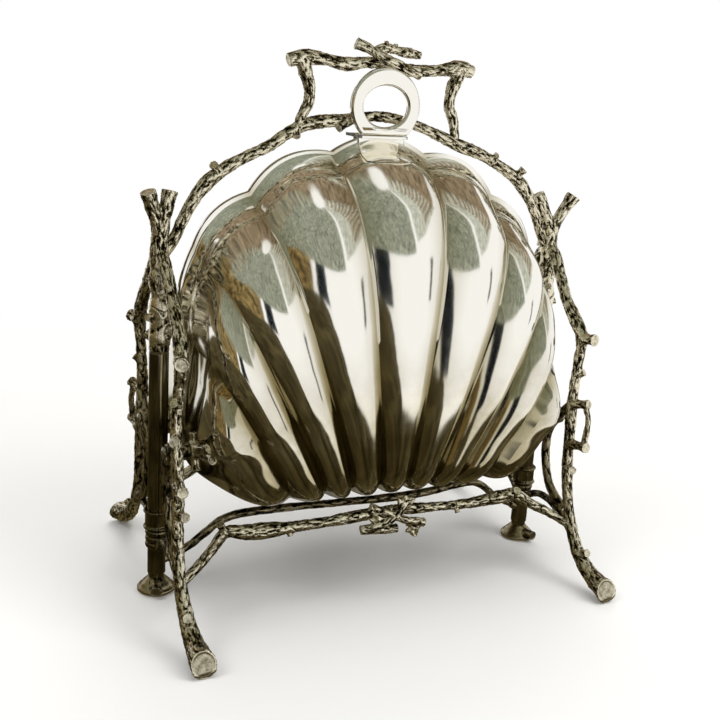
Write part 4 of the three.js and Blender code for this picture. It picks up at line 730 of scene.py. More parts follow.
def makeRail(face):
    line, r = railLine(face), rails["radius"]
    lines = [limb(line, r, rails["girths"], 80)]
    for along, x, y, z, reach, girth in rails["knots"]:
        root = pointWhere(line, 0, -face * along * halfSpacing)
        lines.append(stub(root, (-face * x, -face * y, z), reach * r, girth * r))
    cast(f"cast_{end(face)}_rail", "stand", f"{end(face)}_rail", "cast_branch_silver", lines, look={"barkDepthMm": 0.6},
         seed=11.0 + face)

    def place(along, lift, depth):
        return np.array([-face * along * sprig["half"], face * (rails["reach"] - depth * sprig["radius"]),
                         rails["height"] + lift * sprig["radius"]])

    lines = [limb([place(*p) for p in twig], sprig["radius"], [1.1, 0.95, 1, 1.15], 20) for twig in sprig["twigs"]]
    solids = [leafShape(place(along, lift, depth), turn, face) for along, lift, depth, turn in sprig["leaves"]]
    return cast(f"cast_{end(face)}_rail_sprig", "stand", f"{end(face)}_rail_sprig", "cast_branch_silver", lines,
                solids=solids, look={"barkDepthMm": 0.5}, seed=13.0 + face, voxel=0.3)


def makeSpine():
    line = [(along * halfSpacing, 0, height * spine["height"]) for along, height in spine["line"]]
    cast("cast_spine_rail", "stand", "spine_rail", "cast_branch_silver", [limb(line, spine["radius"], spine["girths"], 70)],
         look=smoothLook, material=darkBarkMaterial, seed=15.0)


# ---- post feet: turned discs, each with a cut root twig
feet = {"radius": 10, "rim": 2.6, "top": 8, "post": 5, "neck": 4.2, "root": [0.25, -1, 0], "rootReach": 13, "rootRadius": 2.5}


def makeFoot(side):
    dome = (feet["top"] - feet["rim"]) / 2
    profile = [(0.01, 0), (feet["radius"] - 0.7, 0), (feet["radius"], 0.7), (feet["radius"], feet["rim"] - 0.5),
               (feet["radius"] - 0.5, feet["rim"]), (feet["radius"] - 1.2, feet["rim"] + 0.2),
               (feet["radius"] - dome + 0.3, feet["rim"] + dome * 0.75), (feet["post"] + 1.4, feet["rim"] + dome * 1.15),
               (feet["post"] + 0.3, feet["top"] - dome * 0.4), (feet["neck"], feet["top"]), (0.01, feet["top"])]
    points, faces = turnedAbout(rounded(profile, 0.6), 64)
    points[:, 0] += side * halfSpacing
    out = np.array([side * feet["root"][0], feet["root"][1], 0])
    root = stub((side * halfSpacing, 0, feet["top"] - 1.4 * feet["rootRadius"]), out, feet["rootReach"], feet["rootRadius"])
    name = f"{hand(side)}_post_foot"
    cast(f"cast_{name}", "stand", name, "cast_branch_silver", [root], solids=[(points, faces)], look=smoothLook,
         material=darkBarkMaterial, seed=side * 2.0 + 17, voxel=0.34)


for side in (-1, 1):
    makeCrown(side)
    makeFoot(side)
    for face in (-1, 1):
        makeLeg(side, face)
        makeStrut(side, face)
        makeTie(side, face)
makeArch()
makeGrip()
sprigs = {face: makeRail(face) for face in (-1, 1)}
makeSpine()
print("stand cast")


# ---- turned pieces: posts, collars, pins, knobs
def turnedPiece(name, profile, segments, matrix, material, body, slot, node, radius=0.3):
    points, faces = turnedAbout(rounded(profile, radius), segments)
    thing = makeObject(name, [matrix @ Vector(p) for p in points], faces, material)
    sharpen(thing)
    return placed(thing, body, slot, node)


def sharpen(thing, degrees=38):
    thing.data.set_sharp_from_angle(angle=math.radians(degrees))


posts = {"radius": 5, "neck": 4.2, "bead": 6, "beadWidth": 3.4, "beadBase": 25, "beads": 3, "foot": 8, "top": 131,
         "collarBase": 36, "collarWidth": 10, "collar": 1.7, "gap": 0.3}


def makePost(side):
    p = posts
    profile = [(0.01, p["foot"]), (p["neck"], p["foot"]), (p["neck"], p["foot"] + 1.2), (p["radius"] - 0.3, p["foot"] + 2.4),
               (p["radius"] - 0.3, p["beadBase"] - 1), (p["neck"] + 0.4, p["beadBase"] - 0.4)]
    for k in range(p["beads"]):
        base = p["beadBase"] + k * p["beadWidth"]
        for s in range(1, 8):
            turn = math.pi * s / 8
            profile.append((p["neck"] + 0.4 + (p["bead"] - p["neck"] - 0.4) * math.sin(turn) ** 0.8,
                            base + p["beadWidth"] * (1 - math.cos(turn)) / 2))
        profile.append((p["neck"] + 0.4, base + p["beadWidth"]))
    profile += [(p["radius"], p["collarBase"] - 0.4), (p["radius"], p["top"] - 0.6), (p["radius"] - 0.4, p["top"]),
                (0.01, p["top"])]
    name = f"{hand(side)}_post"
    turnedPiece(f"turned_{name}", profile, 64, Matrix.Translation((side * halfSpacing * mm, 0, 0)) @ Matrix.Scale(mm, 4),
                tubeMaterial, "stand", "post_tube", name, 0.25)
    inner, outer, low = p["radius"] + p["gap"], p["radius"] + p["gap"] + p["collar"], p["collarBase"]
    lip, high = p["collar"] / 2, p["collarBase"] + p["collarWidth"]
    band = [(inner, low), (outer - 0.3, low), (outer, low + 0.3), (outer, low + lip), (outer - lip, low + 2 * lip),
            (outer - lip, high - 2 * lip), (outer, high - lip), (outer, high - 0.3), (outer - 0.3, high), (inner, high)]
    points, faces = turnedAbout(rounded(band, 0.3), 64)
    faces = faces[:-2] + closingStrip(len(points) - 64, 64)
    collar = makeObject(f"turned_{name}_collar", [(x * mm + side * halfSpacing * mm, y * mm, z * mm) for x, y, z in points],
                        faces, tubeMaterial)
    sharpen(collar)
    placed(collar, "stand", "post_tube", f"{name}_collar")


def closingStrip(first, segments):
    # joins the last ring of a turned band to its first, through the bore
    return [(first + k, first + (k + 1) % segments, (k + 1) % segments, k) for k in range(segments)]


for side in (-1, 1):
    makePost(side)
print("posts turned")

# ---- fluted shells
shell = {"halfWidth": 105, "rise": 153, "wall": 1.3, "parting": 0.5, "depth": 54, "flute": 6.5, "flange": 5.5,
         "shoulder": 5, "bottom": 25.2, "pivot": 87, "offset": 26, "columns": 30, "rows": 132, "edgeRound": 0.35,
         "cusps": [[0.248, 0.941], [0.660, 0.806], [0.925, 0.630], [0.984, 0.370]],
         "hinges": [0.095, 0.286, 0.467, 0.667], "pole": 0.972, "poleRise": 2,
         "swells": [0.165, 0.165, 0.135, 0.08, 0.035],
         "bottoms": [[0, 0], [0.38, 0.075], [0.71, 0.30], [0.93, 0.64], [1, 1]],
         "cheeks": [[1.04, 0.36], [1.05, 0.68], [0.72, 0.92], [0.15, 1]],
         "dome": [[0.2, 1.02], [0.38, 1], [0.54, 0.965], [0.68, 0.89], [0.79, 0.77], [0.87, 0.62]],
         "shoulders": [[1.25, 0.32], [0.72, 0.2], [0.42, 0.11]], "flanges": [[1, 0.055], [0.5, 0.012]]}


def shellColumns():
    half = [(h * shell["halfWidth"], (w * shell["halfWidth"], r * shell["rise"]))
            for h, (w, r) in zip(shell["hinges"], shell["cusps"])]
    half.append((shell["pole"] * shell["halfWidth"], (shell["pole"] * shell["halfWidth"], shell["poleRise"])))
    lines = [(-h, (-x, z)) for h, (x, z) in reversed(half)] + half
    lobes = len(lines) - 1
    columns = []
    for lobe in range(lobes):
        (h0, r0), (h1, r1) = lines[lobe], lines[lobe + 1]
        r0, r1 = np.array(r0), np.array(r1)
        edge = r1 - r0
        out = np.array([-edge[1], edge[0]]) * shell["swells"][abs(lobe - lobes // 2)]
        atEnd = lobe in (0, lobes - 1)
        if atEnd:
            shares = [math.sin(math.pi / 2 * k / shell["columns"]) ** 0.625 for k in range(shell["columns"] + 1)]
            shares = [1 - s for s in reversed(shares)][:-1] if lobe == 0 else shares
        else:
            shares = [k / shell["columns"] for k in range(shell["columns"])]
        for s in shares:
            crest = 4 * s * (1 - s)
            t = (1 - s if lobe == 0 else s) if atEnd else 0
            columns.append((h0 + (h1 - h0) * s, r0 + edge * s + out * crest, crest,
                            max(1 - t ** 3.2, 0) ** (1 / 3.2), max(1 - t ** 5, 0) ** 0.2))
    return columns


def shellSection(hinge, rim, crest, fade, heelFade):
    inset = shell["parting"] + shell["wall"]
    along = rim - np.array([hinge, 0])
    chord = np.linalg.norm(along)
    along = along / chord
    flute = shell["flute"] * (1 - crest)
    depth = (shell["depth"] - flute) * fade
    drop = (shell["bottom"] - 0.3 * flute) * heelFade / max(along[1], 0.3)
    reach = (shell["offset"] - shell["parting"]) * fade
    rest = max(depth - reach, 0)
    narrowing = min(fade, chord / (0.33 * shell["rise"]))
    flange, shoulder = shell["flange"] * narrowing, shell["shoulder"] * narrowing
    line = [(-down * drop, shell["parting"] + out * reach) for down, out in shell["bottoms"]]
    line += [(-down * drop, shell["parting"] + reach + out * rest) for down, out in shell["cheeks"]]
    line += [(up * (chord - flange), inset + out * depth) for up, out in shell["dome"]]
    line += [(chord - flange - back * shoulder, inset + out * depth) for back, out in shell["shoulders"]]
    line += [(chord - back * flange, inset + out * depth) for back, out in shell["flanges"]]
    line.append((chord, inset))
    section = evenly(smoothLine(line, 400), shell["rows"])
    return np.stack([hinge + along[0] * section[:, 0], -section[:, 1], shell["pivot"] + along[1] * section[:, 0]], axis=1)


def evenly(line, count):
    # the points lie closer where the line bends, as in the line itself
    steps = np.concatenate([[0], np.cumsum(np.linalg.norm(np.diff(line, axis=0), axis=1))])
    places = steps / steps[-1] * 0.6 + np.linspace(0, 0.4, len(line))
    return np.stack([np.interp(np.linspace(0, 1, count), places, line[:, k]) for k in range(2)], axis=1)


def shellGrid():
    columns = shellColumns()
    return np.stack([shellSection(*column) for column in columns]), np.array([column[2] for column in columns])


shellPoints, shellCrests = shellGrid()


def gridFaces(wide, tall):
    return [(c * tall + r, (c + 1) * tall + r, (c + 1) * tall + r + 1, c * tall + r + 1)
            for c in range(wide - 1) for r in range(tall - 1)]


def makeShell(face):
    wide, tall = shellPoints.shape[:2]
    points = shellPoints.reshape(-1, 3) * (1 if face < 0 else np.array([-1, -1, 1]))
    thing = makeObject(f"fluted_{end(face)}_shell", points * mm, gridFaces(wide, tall), plateMaterial)
    groove = thing.data.attributes.new("groove", "FLOAT", "POINT")
    groove.data.foreach_set("value", np.repeat(1 - shellCrests, tall))
    thing.data.update()
    shape = bmesh.new()
    shape.from_mesh(thing.data)
    bmesh.ops.remove_doubles(shape, verts=shape.verts, dist=0.02 * mm)
    bmesh.ops.recalc_face_normals(shape, faces=shape.faces)
    shape.to_mesh(thing.data)
    shape.free()
    crest = max(thing.data.polygons, key=lambda polygon: polygon.center.y * face)
    if crest.normal.y * face < 0:
        thing.data.flip_normals()
    wall = thing.modifiers.new("wall", "SOLIDIFY")
    wall.thickness = shell["wall"] * mm
    wall.offset = -1
    wall.use_quality_normals = True
    edge = thing.modifiers.new("edge", "BEVEL")
    edge.limit_method = "ANGLE"
    edge.angle_limit = math.radians(75)
    edge.width = shell["edgeRound"] * mm
    edge.segments = 3
    settled(thing)
    for polygon in thing.data.polygons:
        polygon.use_smooth = True
    keepInside(thing)
    return placed(thing, f"{end(face)}_shell_half", "polished_silver_plate", f"{end(face)}_shell")


for face in (-1, 1):
    makeShell(face)
print("shells raised")


def treeOf(points, faces):
    return BVHTree.FromPolygons([Vector(p) for p in points], faces)


outerSkin = treeOf(shellPoints.reshape(-1, 3), gridFaces(*shellPoints.shape[:2]))


skinSide = 1 if outerSkin.find_nearest(Vector((0, -90, 130)))[1].y < 0 else -1


def turnedBack(points, face):
    return np.array(points) * (1 if face < 0 else np.array([-1, -1, 1]))


def clearOfBowl(thing, face, degrees=85, gap=0.45):
    # a half that lies right down passes just over the sprig
    swing = Matrix.Rotation(math.radians(degrees), 3, "X")
    pivot = Vector((0, -shell["offset"], shell["pivot"]))
    for vertex in thing.data.vertices:
        point = pivot + (Vector(turnedBack(vertex.co, face)) / mm - pivot) @ swing
        near, normal, _, distance = outerSkin.find_nearest(point)
        if distance < 6 and (point - near).dot(normal) * skinSide < gap:
            cleared = pivot + swing @ (near + normal * skinSide * gap - pivot)
            vertex.co = Vector(turnedBack(cleared, face)) * mm
    thing.data.update()


for face, thing in sprigs.items():
    clearOfBowl(thing, face)


# ---- lugs on the shells' ends, and the pins through them
lugs = {"inner": 81.9, "outer": 104.0, "radius": 4.8, "bud": 2.6, "budReach": 18, "pivotReach": 26, "pivot": 87,
        "pin": 1.6, "pinTip": 101.6, "headBase": 116.05, "head": 3, "headHeight": 1.8,
        "buds": [[-0.19, -1, 0.42, 1], [-0.27, -1, 0.05, 0.95], [0, -0.3, -1, 0.55], [0, 0.2, 1, 0.5]]}
lugLook = {"barkDepthMm": 0.3, "ridgeMm": 2.4, "gnarl": 0.12, "voxelMm": 0.34}


def sunkInSkin(thing, face):
    # what would lie inside the shell is laid into its wall instead
    for vertex in thing.data.vertices:
        point = Vector(turnedBack(vertex.co, face)) / mm
        near, normal, _, _ = outerSkin.find_nearest(point)
        if (point - near).dot(normal) * skinSide < -0.6:
            vertex.co = Vector(turnedBack(near - normal * skinSide * 0.6, face)) * mm


def makeLug(side, face):
    y, z = -lugs["pivotReach"], lugs["pivot"]
    lips = [(0, 1), (0.5, 0.95), (0.72, 0.9), (0.8, 1.06), (0.9, 1.06), (1, 0.95)]
    span = lugs["outer"] - lugs["inner"]
    lines = [([(side * (lugs["inner"] + span * s), y, z) for s, _ in lips], [lugs["radius"] * g for _, g in lips])]
    root = (side * (lugs["outer"] - lugs["bud"] - 0.3), y, z)
    for x, out, up, reach in lugs["buds"]:
        lines.append(stub(root, (side * x, out, up), lugs["budReach"] * reach, lugs["bud"]))
    lines = [(turnedBack(points, face), girths) for points, girths in lines]
    socket = rodSolid(lugs["pin"] + 0.3, (side * (lugs["pinTip"] - 0.3), y, z), (side * (lugs["outer"] + 6), y, z))
    node = f"{end(face)}_shell_{hand(side)}_lug"
    lug = cast(f"cast_{node}", f"{end(face)}_shell_half", node, "polished_silver_plate", lines,
               cutters=[(turnedBack(socket[0], face), socket[1])], look=lugLook, material=lugMaterial, seed=side + face * 7)
    sunkInSkin(lug, face)


def makePin(side, face):
    length = lugs["headBase"] - lugs["pinTip"]
    profile = [(0.01, 0), (lugs["pin"] - 0.3, 0), (lugs["pin"], 0.4), (lugs["pin"], length), (lugs["head"], length),
               (lugs["head"], length + 0.8), (lugs["head"] * 0.8, length + 1.4), (lugs["head"] * 0.4, length + 1.72),
               (0.01, length + lugs["headHeight"])]
    flip = 1 if face < 0 else -1
    turn = Matrix.Translation((flip * side * lugs["pinTip"] * mm, -flip * lugs["pivotReach"] * mm, lugs["pivot"] * mm))
    turn = turn @ Matrix.Rotation(flip * side * math.pi / 2, 4, "Y") @ Matrix.Scale(mm, 4)
    node = f"{end(face)}_shell_{hand(side)}_pin"
    turnedPiece(f"turned_{node}", profile, 48, turn, steelMaterial, f"{end(face)}_shell_half", "pin_steel", node, 0.25)


# ---- lifting ring on the front half, and the straps on both rims
ring = {"radius": 19.2, "drop": 14.3, "base": 240, "holeWidth": 12.5, "holeHeight": 10.2, "thickness": 4.4, "middle": 4.8,
        "bevel": 1.7, "slotHalf": 10.6, "slotLow": 242.5, "slotHigh": 243.6}
straps = {"half": 12.8, "low": 228, "high": 239.7, "thickness": 1.2, "gap": 0.3, "shelves": {-1: 7.0, 1: 13},
          "rimDepth": 1.8, "bevel": 0.35, "columns": 26, "rows": 16}


def makeRing():
    centre = ring["base"] + ring["drop"]
    start = math.asin(ring["drop"] / ring["radius"])
    outer = [(ring["radius"] * math.cos(a), centre + ring["radius"] * math.sin(a))
             for a in np.linspace(-start, math.pi + start, 120)]
    base = math.cos(start) * ring["radius"]
    outer += [(x, ring["base"]) for x in np.linspace(-base, base, 14)[1:-1]]
    hole = [(ring["holeWidth"] * math.cos(a), centre + ring["holeHeight"] * math.sin(a))
            for a in np.linspace(0, 2 * math.pi, 96, endpoint=False)]
    low, high, reach = ring["slotLow"], ring["slotHigh"], ring["slotHalf"]
    slotLine = [(x, low) for x in np.linspace(-reach, reach, 12)] + [(x, high) for x in np.linspace(reach, -reach, 12)]
    curve = bpy.data.curves.new("ring", "CURVE")
    curve.dimensions = "2D"
    curve.fill_mode = "BOTH"
    curve.bevel_depth = ring["bevel"] * mm
    curve.bevel_resolution = 5
    curve.offset = -ring["bevel"] * mm
    curve.extrude = (ring["thickness"] / 2 - ring["bevel"]) * mm
    for line in (outer, hole):
        spline = curve.splines.new("POLY")
        spline.points.add(len(line) - 1)
        for point, (x, z) in zip(spline.points, line):
            point.co = (x * mm, (z - centre) * mm, 0, 1)
        spline.use_cyclic_u = True
    thing = bpy.data.objects.new("lifting_ring", curve)
    bpy.context.scene.collection.objects.link(thing)
    graph = bpy.context.evaluated_depsgraph_get()
    mesh = bpy.data.meshes.new_from_object(thing.evaluated_get(graph))
    bpy.data.objects.remove(thing)
    mesh.transform(Matrix.Translation((0, -ring["middle"] * mm, centre * mm)) @ Matrix.Rotation(math.pi / 2, 4, "X"))
    shape = bmesh.new()
    shape.from_mesh(mesh)
    bmesh.ops.remove_doubles(shape, verts=shape.verts, dist=0.01 * mm)
    bmesh.ops.recalc_face_normals(shape, faces=shape.faces)
    shape.to_mesh(mesh)
    shape.free()
    mesh.materials.clear()
    mesh.materials.append(plateMaterial)
    thing = bpy.data.objects.new("lifting_ring", mesh)
    bpy.context.scene.collection.objects.link(thing)
    slot = makeObject("slot", *rectangleSolid(slotLine, -ring["middle"] - 4, -ring["middle"] + 4), None)
    cut = thing.modifiers.new("slot", "BOOLEAN")
    cut.operation = "DIFFERENCE"
    cut.solver = "EXACT"
    cut.object = slot
    settled(thing)
    bpy.data.objects.remove(slot)
    for polygon in thing.data.polygons:
        polygon.use_smooth = True
    sharpen(thing, 50)
    placed(thing, "front_shell_half", "polished_silver_plate", "front_ring")


def rectangleSolid(line, near, far):
    count = len(line)
    points = [(x * mm, y * mm, z * mm) for y in (near, far) for x, z in line]
    faces = [(k, (k + 1) % count, (k + 1) % count + count, k + count) for k in range(count)]
    return points, faces + [tuple(reversed(range(count))), tuple(range(count, 2 * count))]


def frontOf(x, z):
    hit = outerSkin.ray_cast(Vector((x, -90, z)), Vector((0, 1, 0)))[0]
    return -hit.y if hit is not None else straps["rimDepth"]


def makeStrap(face):
    shelf, high = straps["shelves"][face], straps["high"]
    points = []
    for x in np.linspace(-straps["half"], straps["half"], straps["columns"]):
        heights = np.linspace(straps["low"], high - straps["thickness"], straps["rows"])
        depths = [frontOf(x, z) for z in heights]
        line = [(-d - straps["gap"] - straps["thickness"], z) for d, z in zip(depths, heights)]
        line += [(-shelf, high - straps["thickness"]), (-shelf, high), (-straps["rimDepth"] - straps["gap"], high)]
        line += [(-d - straps["gap"], z) for d, z in zip(reversed(depths), reversed(heights))]
        points.append([(x, y, z) for y, z in line])
    tall = len(points[0])
    flat = turnedBack([p for column in points for p in column], face) * mm
    faces = [(c * tall + r, c * tall + (r + 1) % tall, (c + 1) * tall + (r + 1) % tall, (c + 1) * tall + r)
             for c in range(straps["columns"] - 1) for r in range(tall)]
    faces += [tuple(range(tall)), tuple(range(len(flat) - 1, len(flat) - 1 - tall, -1))]
    node = "front_ring_strap" if face < 0 else "back_thumb_strap"
    thing = makeObject(f"sheet_{node}", flat, faces, plateMaterial)
    edge = thing.modifiers.new("edge", "BEVEL")
    edge.limit_method = "ANGLE"
    edge.angle_limit = math.radians(40)
    edge.width = straps["bevel"] * mm
    edge.segments = 3
    settled(thing)
    shape = bmesh.new()
    shape.from_mesh(thing.data)
    bmesh.ops.recalc_face_normals(shape, faces=shape.faces)
    shape.to_mesh(thing.data)
    shape.free()
    sharpen(thing, 50)
    placed(thing, f"{end(face)}_shell_half", "polished_silver_plate", node)


# ---- pierced flaps: a Geometry Nodes tree cuts the fan of holes and rolls the rim
flap = {"margin": 13, "base": 95, "middle": 5.4, "thickness": 1, "hinge": 92, "half": 62, "fan": 158,
        "holeLength": 16, "holeWidth": 7, "knuckle": 2.1, "bore": 1.0, "pin": 0.8, "rim": 0.62,
        # reach, count, length, width
        "holes": [[0.28, 4, 0.55, 0.9], [0.46, 5, 0.85, 1.1], [0.66, 7, 1, 1.15], [0.86, 9, 0.9, 1.4]],
        "knuckles": [[-0.56, -0.24], [0.24, 0.56]], "leafKnuckles": [[-0.98, -0.6], [-0.2, 0.2], [0.6, 0.98]],
        "leafThickness": 0.9, "knob": 3.4, "knobAt": 214,
        "knobShape": [[0.01, 0], [0.5, 0], [0.46, 0.12], [0.4, 0.3], [0.46, 0.42], [0.9, 0.55], [1, 0.7], [0.95, 0.85],
                      [0.6, 0.97], [0.01, 1]]}


def piercedSheetTree():
    tree = bpy.data.node_groups.new("piercedSheet", "GeometryNodeTree")
    for name, kind in (("Outline", "NodeSocketGeometry"), ("Thickness", "NodeSocketFloat"), ("Rim", "NodeSocketFloat"),
                       ("Material", "NodeSocketMaterial")):
        tree.interface.new_socket(name, in_out="INPUT", socket_type=kind)
    tree.interface.new_socket("Sheet", in_out="OUTPUT", socket_type="NodeSocketGeometry")
    given = addNode(tree, "NodeGroupInput").outputs

    def attribute(name, kind="FLOAT"):
        return addNode(tree, "GeometryNodeInputNamedAttribute", {"Name": name}, data_type=kind).outputs["Attribute"]

    isEdge = addNode(tree, "FunctionNodeCompare", {0: attribute("hole"), 1: 0.5}, operation="LESS_THAN").outputs[0]
    split = addNode(tree, "GeometryNodeSeparateGeometry", {"Geometry": given["Outline"], "Selection": isEdge}, domain="POINT")
    outline = addNode(tree, "GeometryNodeMeshToCurve", {"Mesh": split.outputs["Selection"]}).outputs[0]
    places = addNode(tree, "GeometryNodeMeshToPoints", {"Mesh": split.outputs["Inverted"]}).outputs[0]
    circle = addNode(tree, "GeometryNodeCurvePrimitiveCircle", {"Resolution": 28, "Radius": 1.0}).outputs[0]
    turn = addNode(tree, "ShaderNodeCombineXYZ", {"Z": attribute("turn")}).outputs[0]
    holes = addNode(tree, "GeometryNodeInstanceOnPoints", {"Points": places, "Instance": circle, "Rotation": turn,
                    "Scale": attribute("span", "FLOAT_VECTOR")}).outputs[0]
    holes = addNode(tree, "GeometryNodeRealizeInstances", {"Geometry": holes}).outputs[0]
    lines = addNode(tree, "GeometryNodeJoinGeometry")
    tree.links.new(outline, lines.inputs[0])
    tree.links.new(holes, lines.inputs[0])
    face = addNode(tree, "GeometryNodeFillCurve", {"Curve": lines.outputs[0]}).outputs[0]
    face.node.mode = "TRIANGLES"
    thick = addNode(tree, "GeometryNodeExtrudeMesh", {"Mesh": face, "Offset": (0, 0, 1.0), "Offset Scale": given["Thickness"],
                    "Individual": False}, mode="FACES").outputs["Mesh"]
    under = addNode(tree, "GeometryNodeFlipFaces", {"Mesh": face}).outputs[0]
    roll = addNode(tree, "GeometryNodeCurvePrimitiveCircle", {"Resolution": 12, "Radius": given["Rim"]}).outputs[0]
    beads = addNode(tree, "GeometryNodeCurveToMesh", {"Curve": lines.outputs[0], "Profile Curve": roll}).outputs[0]
    lift = addNode(tree, "ShaderNodeCombineXYZ", {"Z": given["Thickness"]}).outputs[0]
    half = addNode(tree, "ShaderNodeVectorMath", {0: lift, "Scale": 0.5}, operation="SCALE").outputs[0]
    beads = addNode(tree, "GeometryNodeSetPosition", {"Geometry": beads, "Offset": half}).outputs[0]
    beads = addNode(tree, "GeometryNodeSetShadeSmooth", {"Geometry": beads}).outputs[0]
    both = addNode(tree, "GeometryNodeJoinGeometry")
    for part in (thick, under, beads):
        tree.links.new(part, both.inputs[0])
    sheet = addNode(tree, "GeometryNodeRealizeInstances", {"Geometry": both.outputs[0]}).outputs[0]
    sheet = addNode(tree, "GeometryNodeSetMaterial", {"Geometry": sheet, "Material": given["Material"]}).outputs[0]
    addNode(tree, "NodeGroupOutput", {"Sheet": sheet})
    return tree


piercedSheet = piercedSheetTree()


def flapOutline():
    wide = (shell["halfWidth"] - flap["margin"]) / shell["halfWidth"]
    tall = (shell["rise"] - flap["margin"]) / shell["rise"]
    edge = [(rim[0] * wide, shell["pivot"] + rim[1] * tall) for _, rim, _, _, _ in shellColumns()]
    edge = [point for point in edge if point[1] > flap["base"] + flap["holeWidth"]]
    return [(-flap["half"], flap["base"]), (flap["half"], flap["base"])] + edge[::-1][::2]


def flapHoles(outline):
    centre = np.array([0, flap["base"]])
    rays = np.array(outline) - centre
    angles = np.arctan2(rays[:, 1], rays[:, 0])
    spread = math.radians(flap["fan"])
    holes = []
    for share, count, long, wide in flap["holes"]:
        for k in range(count):
            angle = math.pi / 2 - spread / 2 + spread * (k + 0.5) / count
            reach = np.linalg.norm(rays[np.argmin(np.abs(angles - angle))]) * share
            holes.append((centre + reach * np.array([math.cos(angle), math.sin(angle)]), angle,
                          flap["holeLength"] * long / 2, flap["holeWidth"] * wide / 2))
    return holes


def knuckleParts(spans, plateLow, plateHigh, thickness):
    # tongues with rolled eyes round the hinge pin
    points, faces = [], []
    for low, high in spans:
        profile = [(flap["bore"], 0), (flap["knuckle"] - 0.25, 0), (flap["knuckle"], 0.25),
                   (flap["knuckle"], (high - low) * flap["half"] - 0.25),
                   (flap["knuckle"] - 0.25, (high - low) * flap["half"]), (flap["bore"], (high - low) * flap["half"])]
        eye, eyeFaces = turnedAbout(profile, 32)
        eyeFaces = eyeFaces[:-2] + closingStrip(len(eye) - 32, 32)
        first = len(points)
        points += [(z + low * flap["half"], y - flap["middle"], x + flap["hinge"]) for x, y, z in eye]
        faces += [tuple(first + k for k in face) for face in eyeFaces]
        corners, boxFaces = blockSolid((low * flap["half"], -flap["middle"] - thickness / 2, plateLow),
                                       (high * flap["half"], -flap["middle"] + thickness / 2, plateHigh))
        first = len(points)
        points += [tuple(c) for c in corners]
        faces += [tuple(first + k for k in face) for face in boxFaces]
    return points, faces


def makeFlap(face):
    outline = flapOutline()
    holes = flapHoles(outline)
    count = len(outline)
    mesh = bpy.data.meshes.new("flapPlan")
    mesh.from_pydata([(x * mm, z * mm, 0) for x, z in outline] + [(x * mm, z * mm, 0) for (x, z), *_ in holes],
                     [(k, (k + 1) % count) for k in range(count)], [])
    values = {"hole": [0.0] * count + [1.0] * len(holes), "turn": [0.0] * count + [hole[1] for hole in holes]}
    for name, numbers in values.items():
        mesh.attributes.new(name, "FLOAT", "POINT").data.foreach_set("value", numbers)
    spans = [0.0] * (3 * count)
    for _, _, long, wide in holes:
        spans += [long * mm, wide * mm, mm]
    mesh.attributes.new("span", "FLOAT_VECTOR", "POINT").data.foreach_set("vector", spans)
    thing = bpy.data.objects.new(f"pierced_{end(face)}_flap", mesh)
    bpy.context.scene.collection.objects.link(thing)
    modifier = thing.modifiers.new("piercing", "NODES")
    modifier.node_group = piercedSheet
    values = {"Thickness": flap["thickness"] * mm, "Rim": flap["rim"] * mm, "Material": giltMaterial}
    for item in piercedSheet.interface.items_tree:
        if item.name in values:
            modifier[item.identifier] = values[item.name]
    settled(thing)
    thing.data.transform(Matrix.Translation((0, (-flap["middle"] + flap["thickness"] / 2) * mm, 0))
                         @ Matrix.Rotation(math.pi / 2, 4, "X"))
    points, faces = knuckleParts(flap["knuckles"], flap["hinge"], flap["base"] + 1, flap["thickness"])
    joinTo(thing, points, faces, giltMaterial)
    if face > 0:
        thing.data.transform(Matrix.Rotation(math.pi, 4, "Z"))
    sharpen(thing)
    placed(thing, f"{end(face)}_flap_grille", "gilt_flap", f"{end(face)}_flap")


def joinTo(thing, points, faces, material):
    extra = makeObject("extra", np.array(points) * mm, faces, material)
    shape = bmesh.new()
    shape.from_mesh(thing.data)
    shape.from_mesh(extra.data)
    bmesh.ops.recalc_face_normals(shape, faces=shape.faces)
    shape.to_mesh(thing.data)
    shape.free()
    old = extra.data
    bpy.data.objects.remove(extra)
    bpy.data.meshes.remove(old)


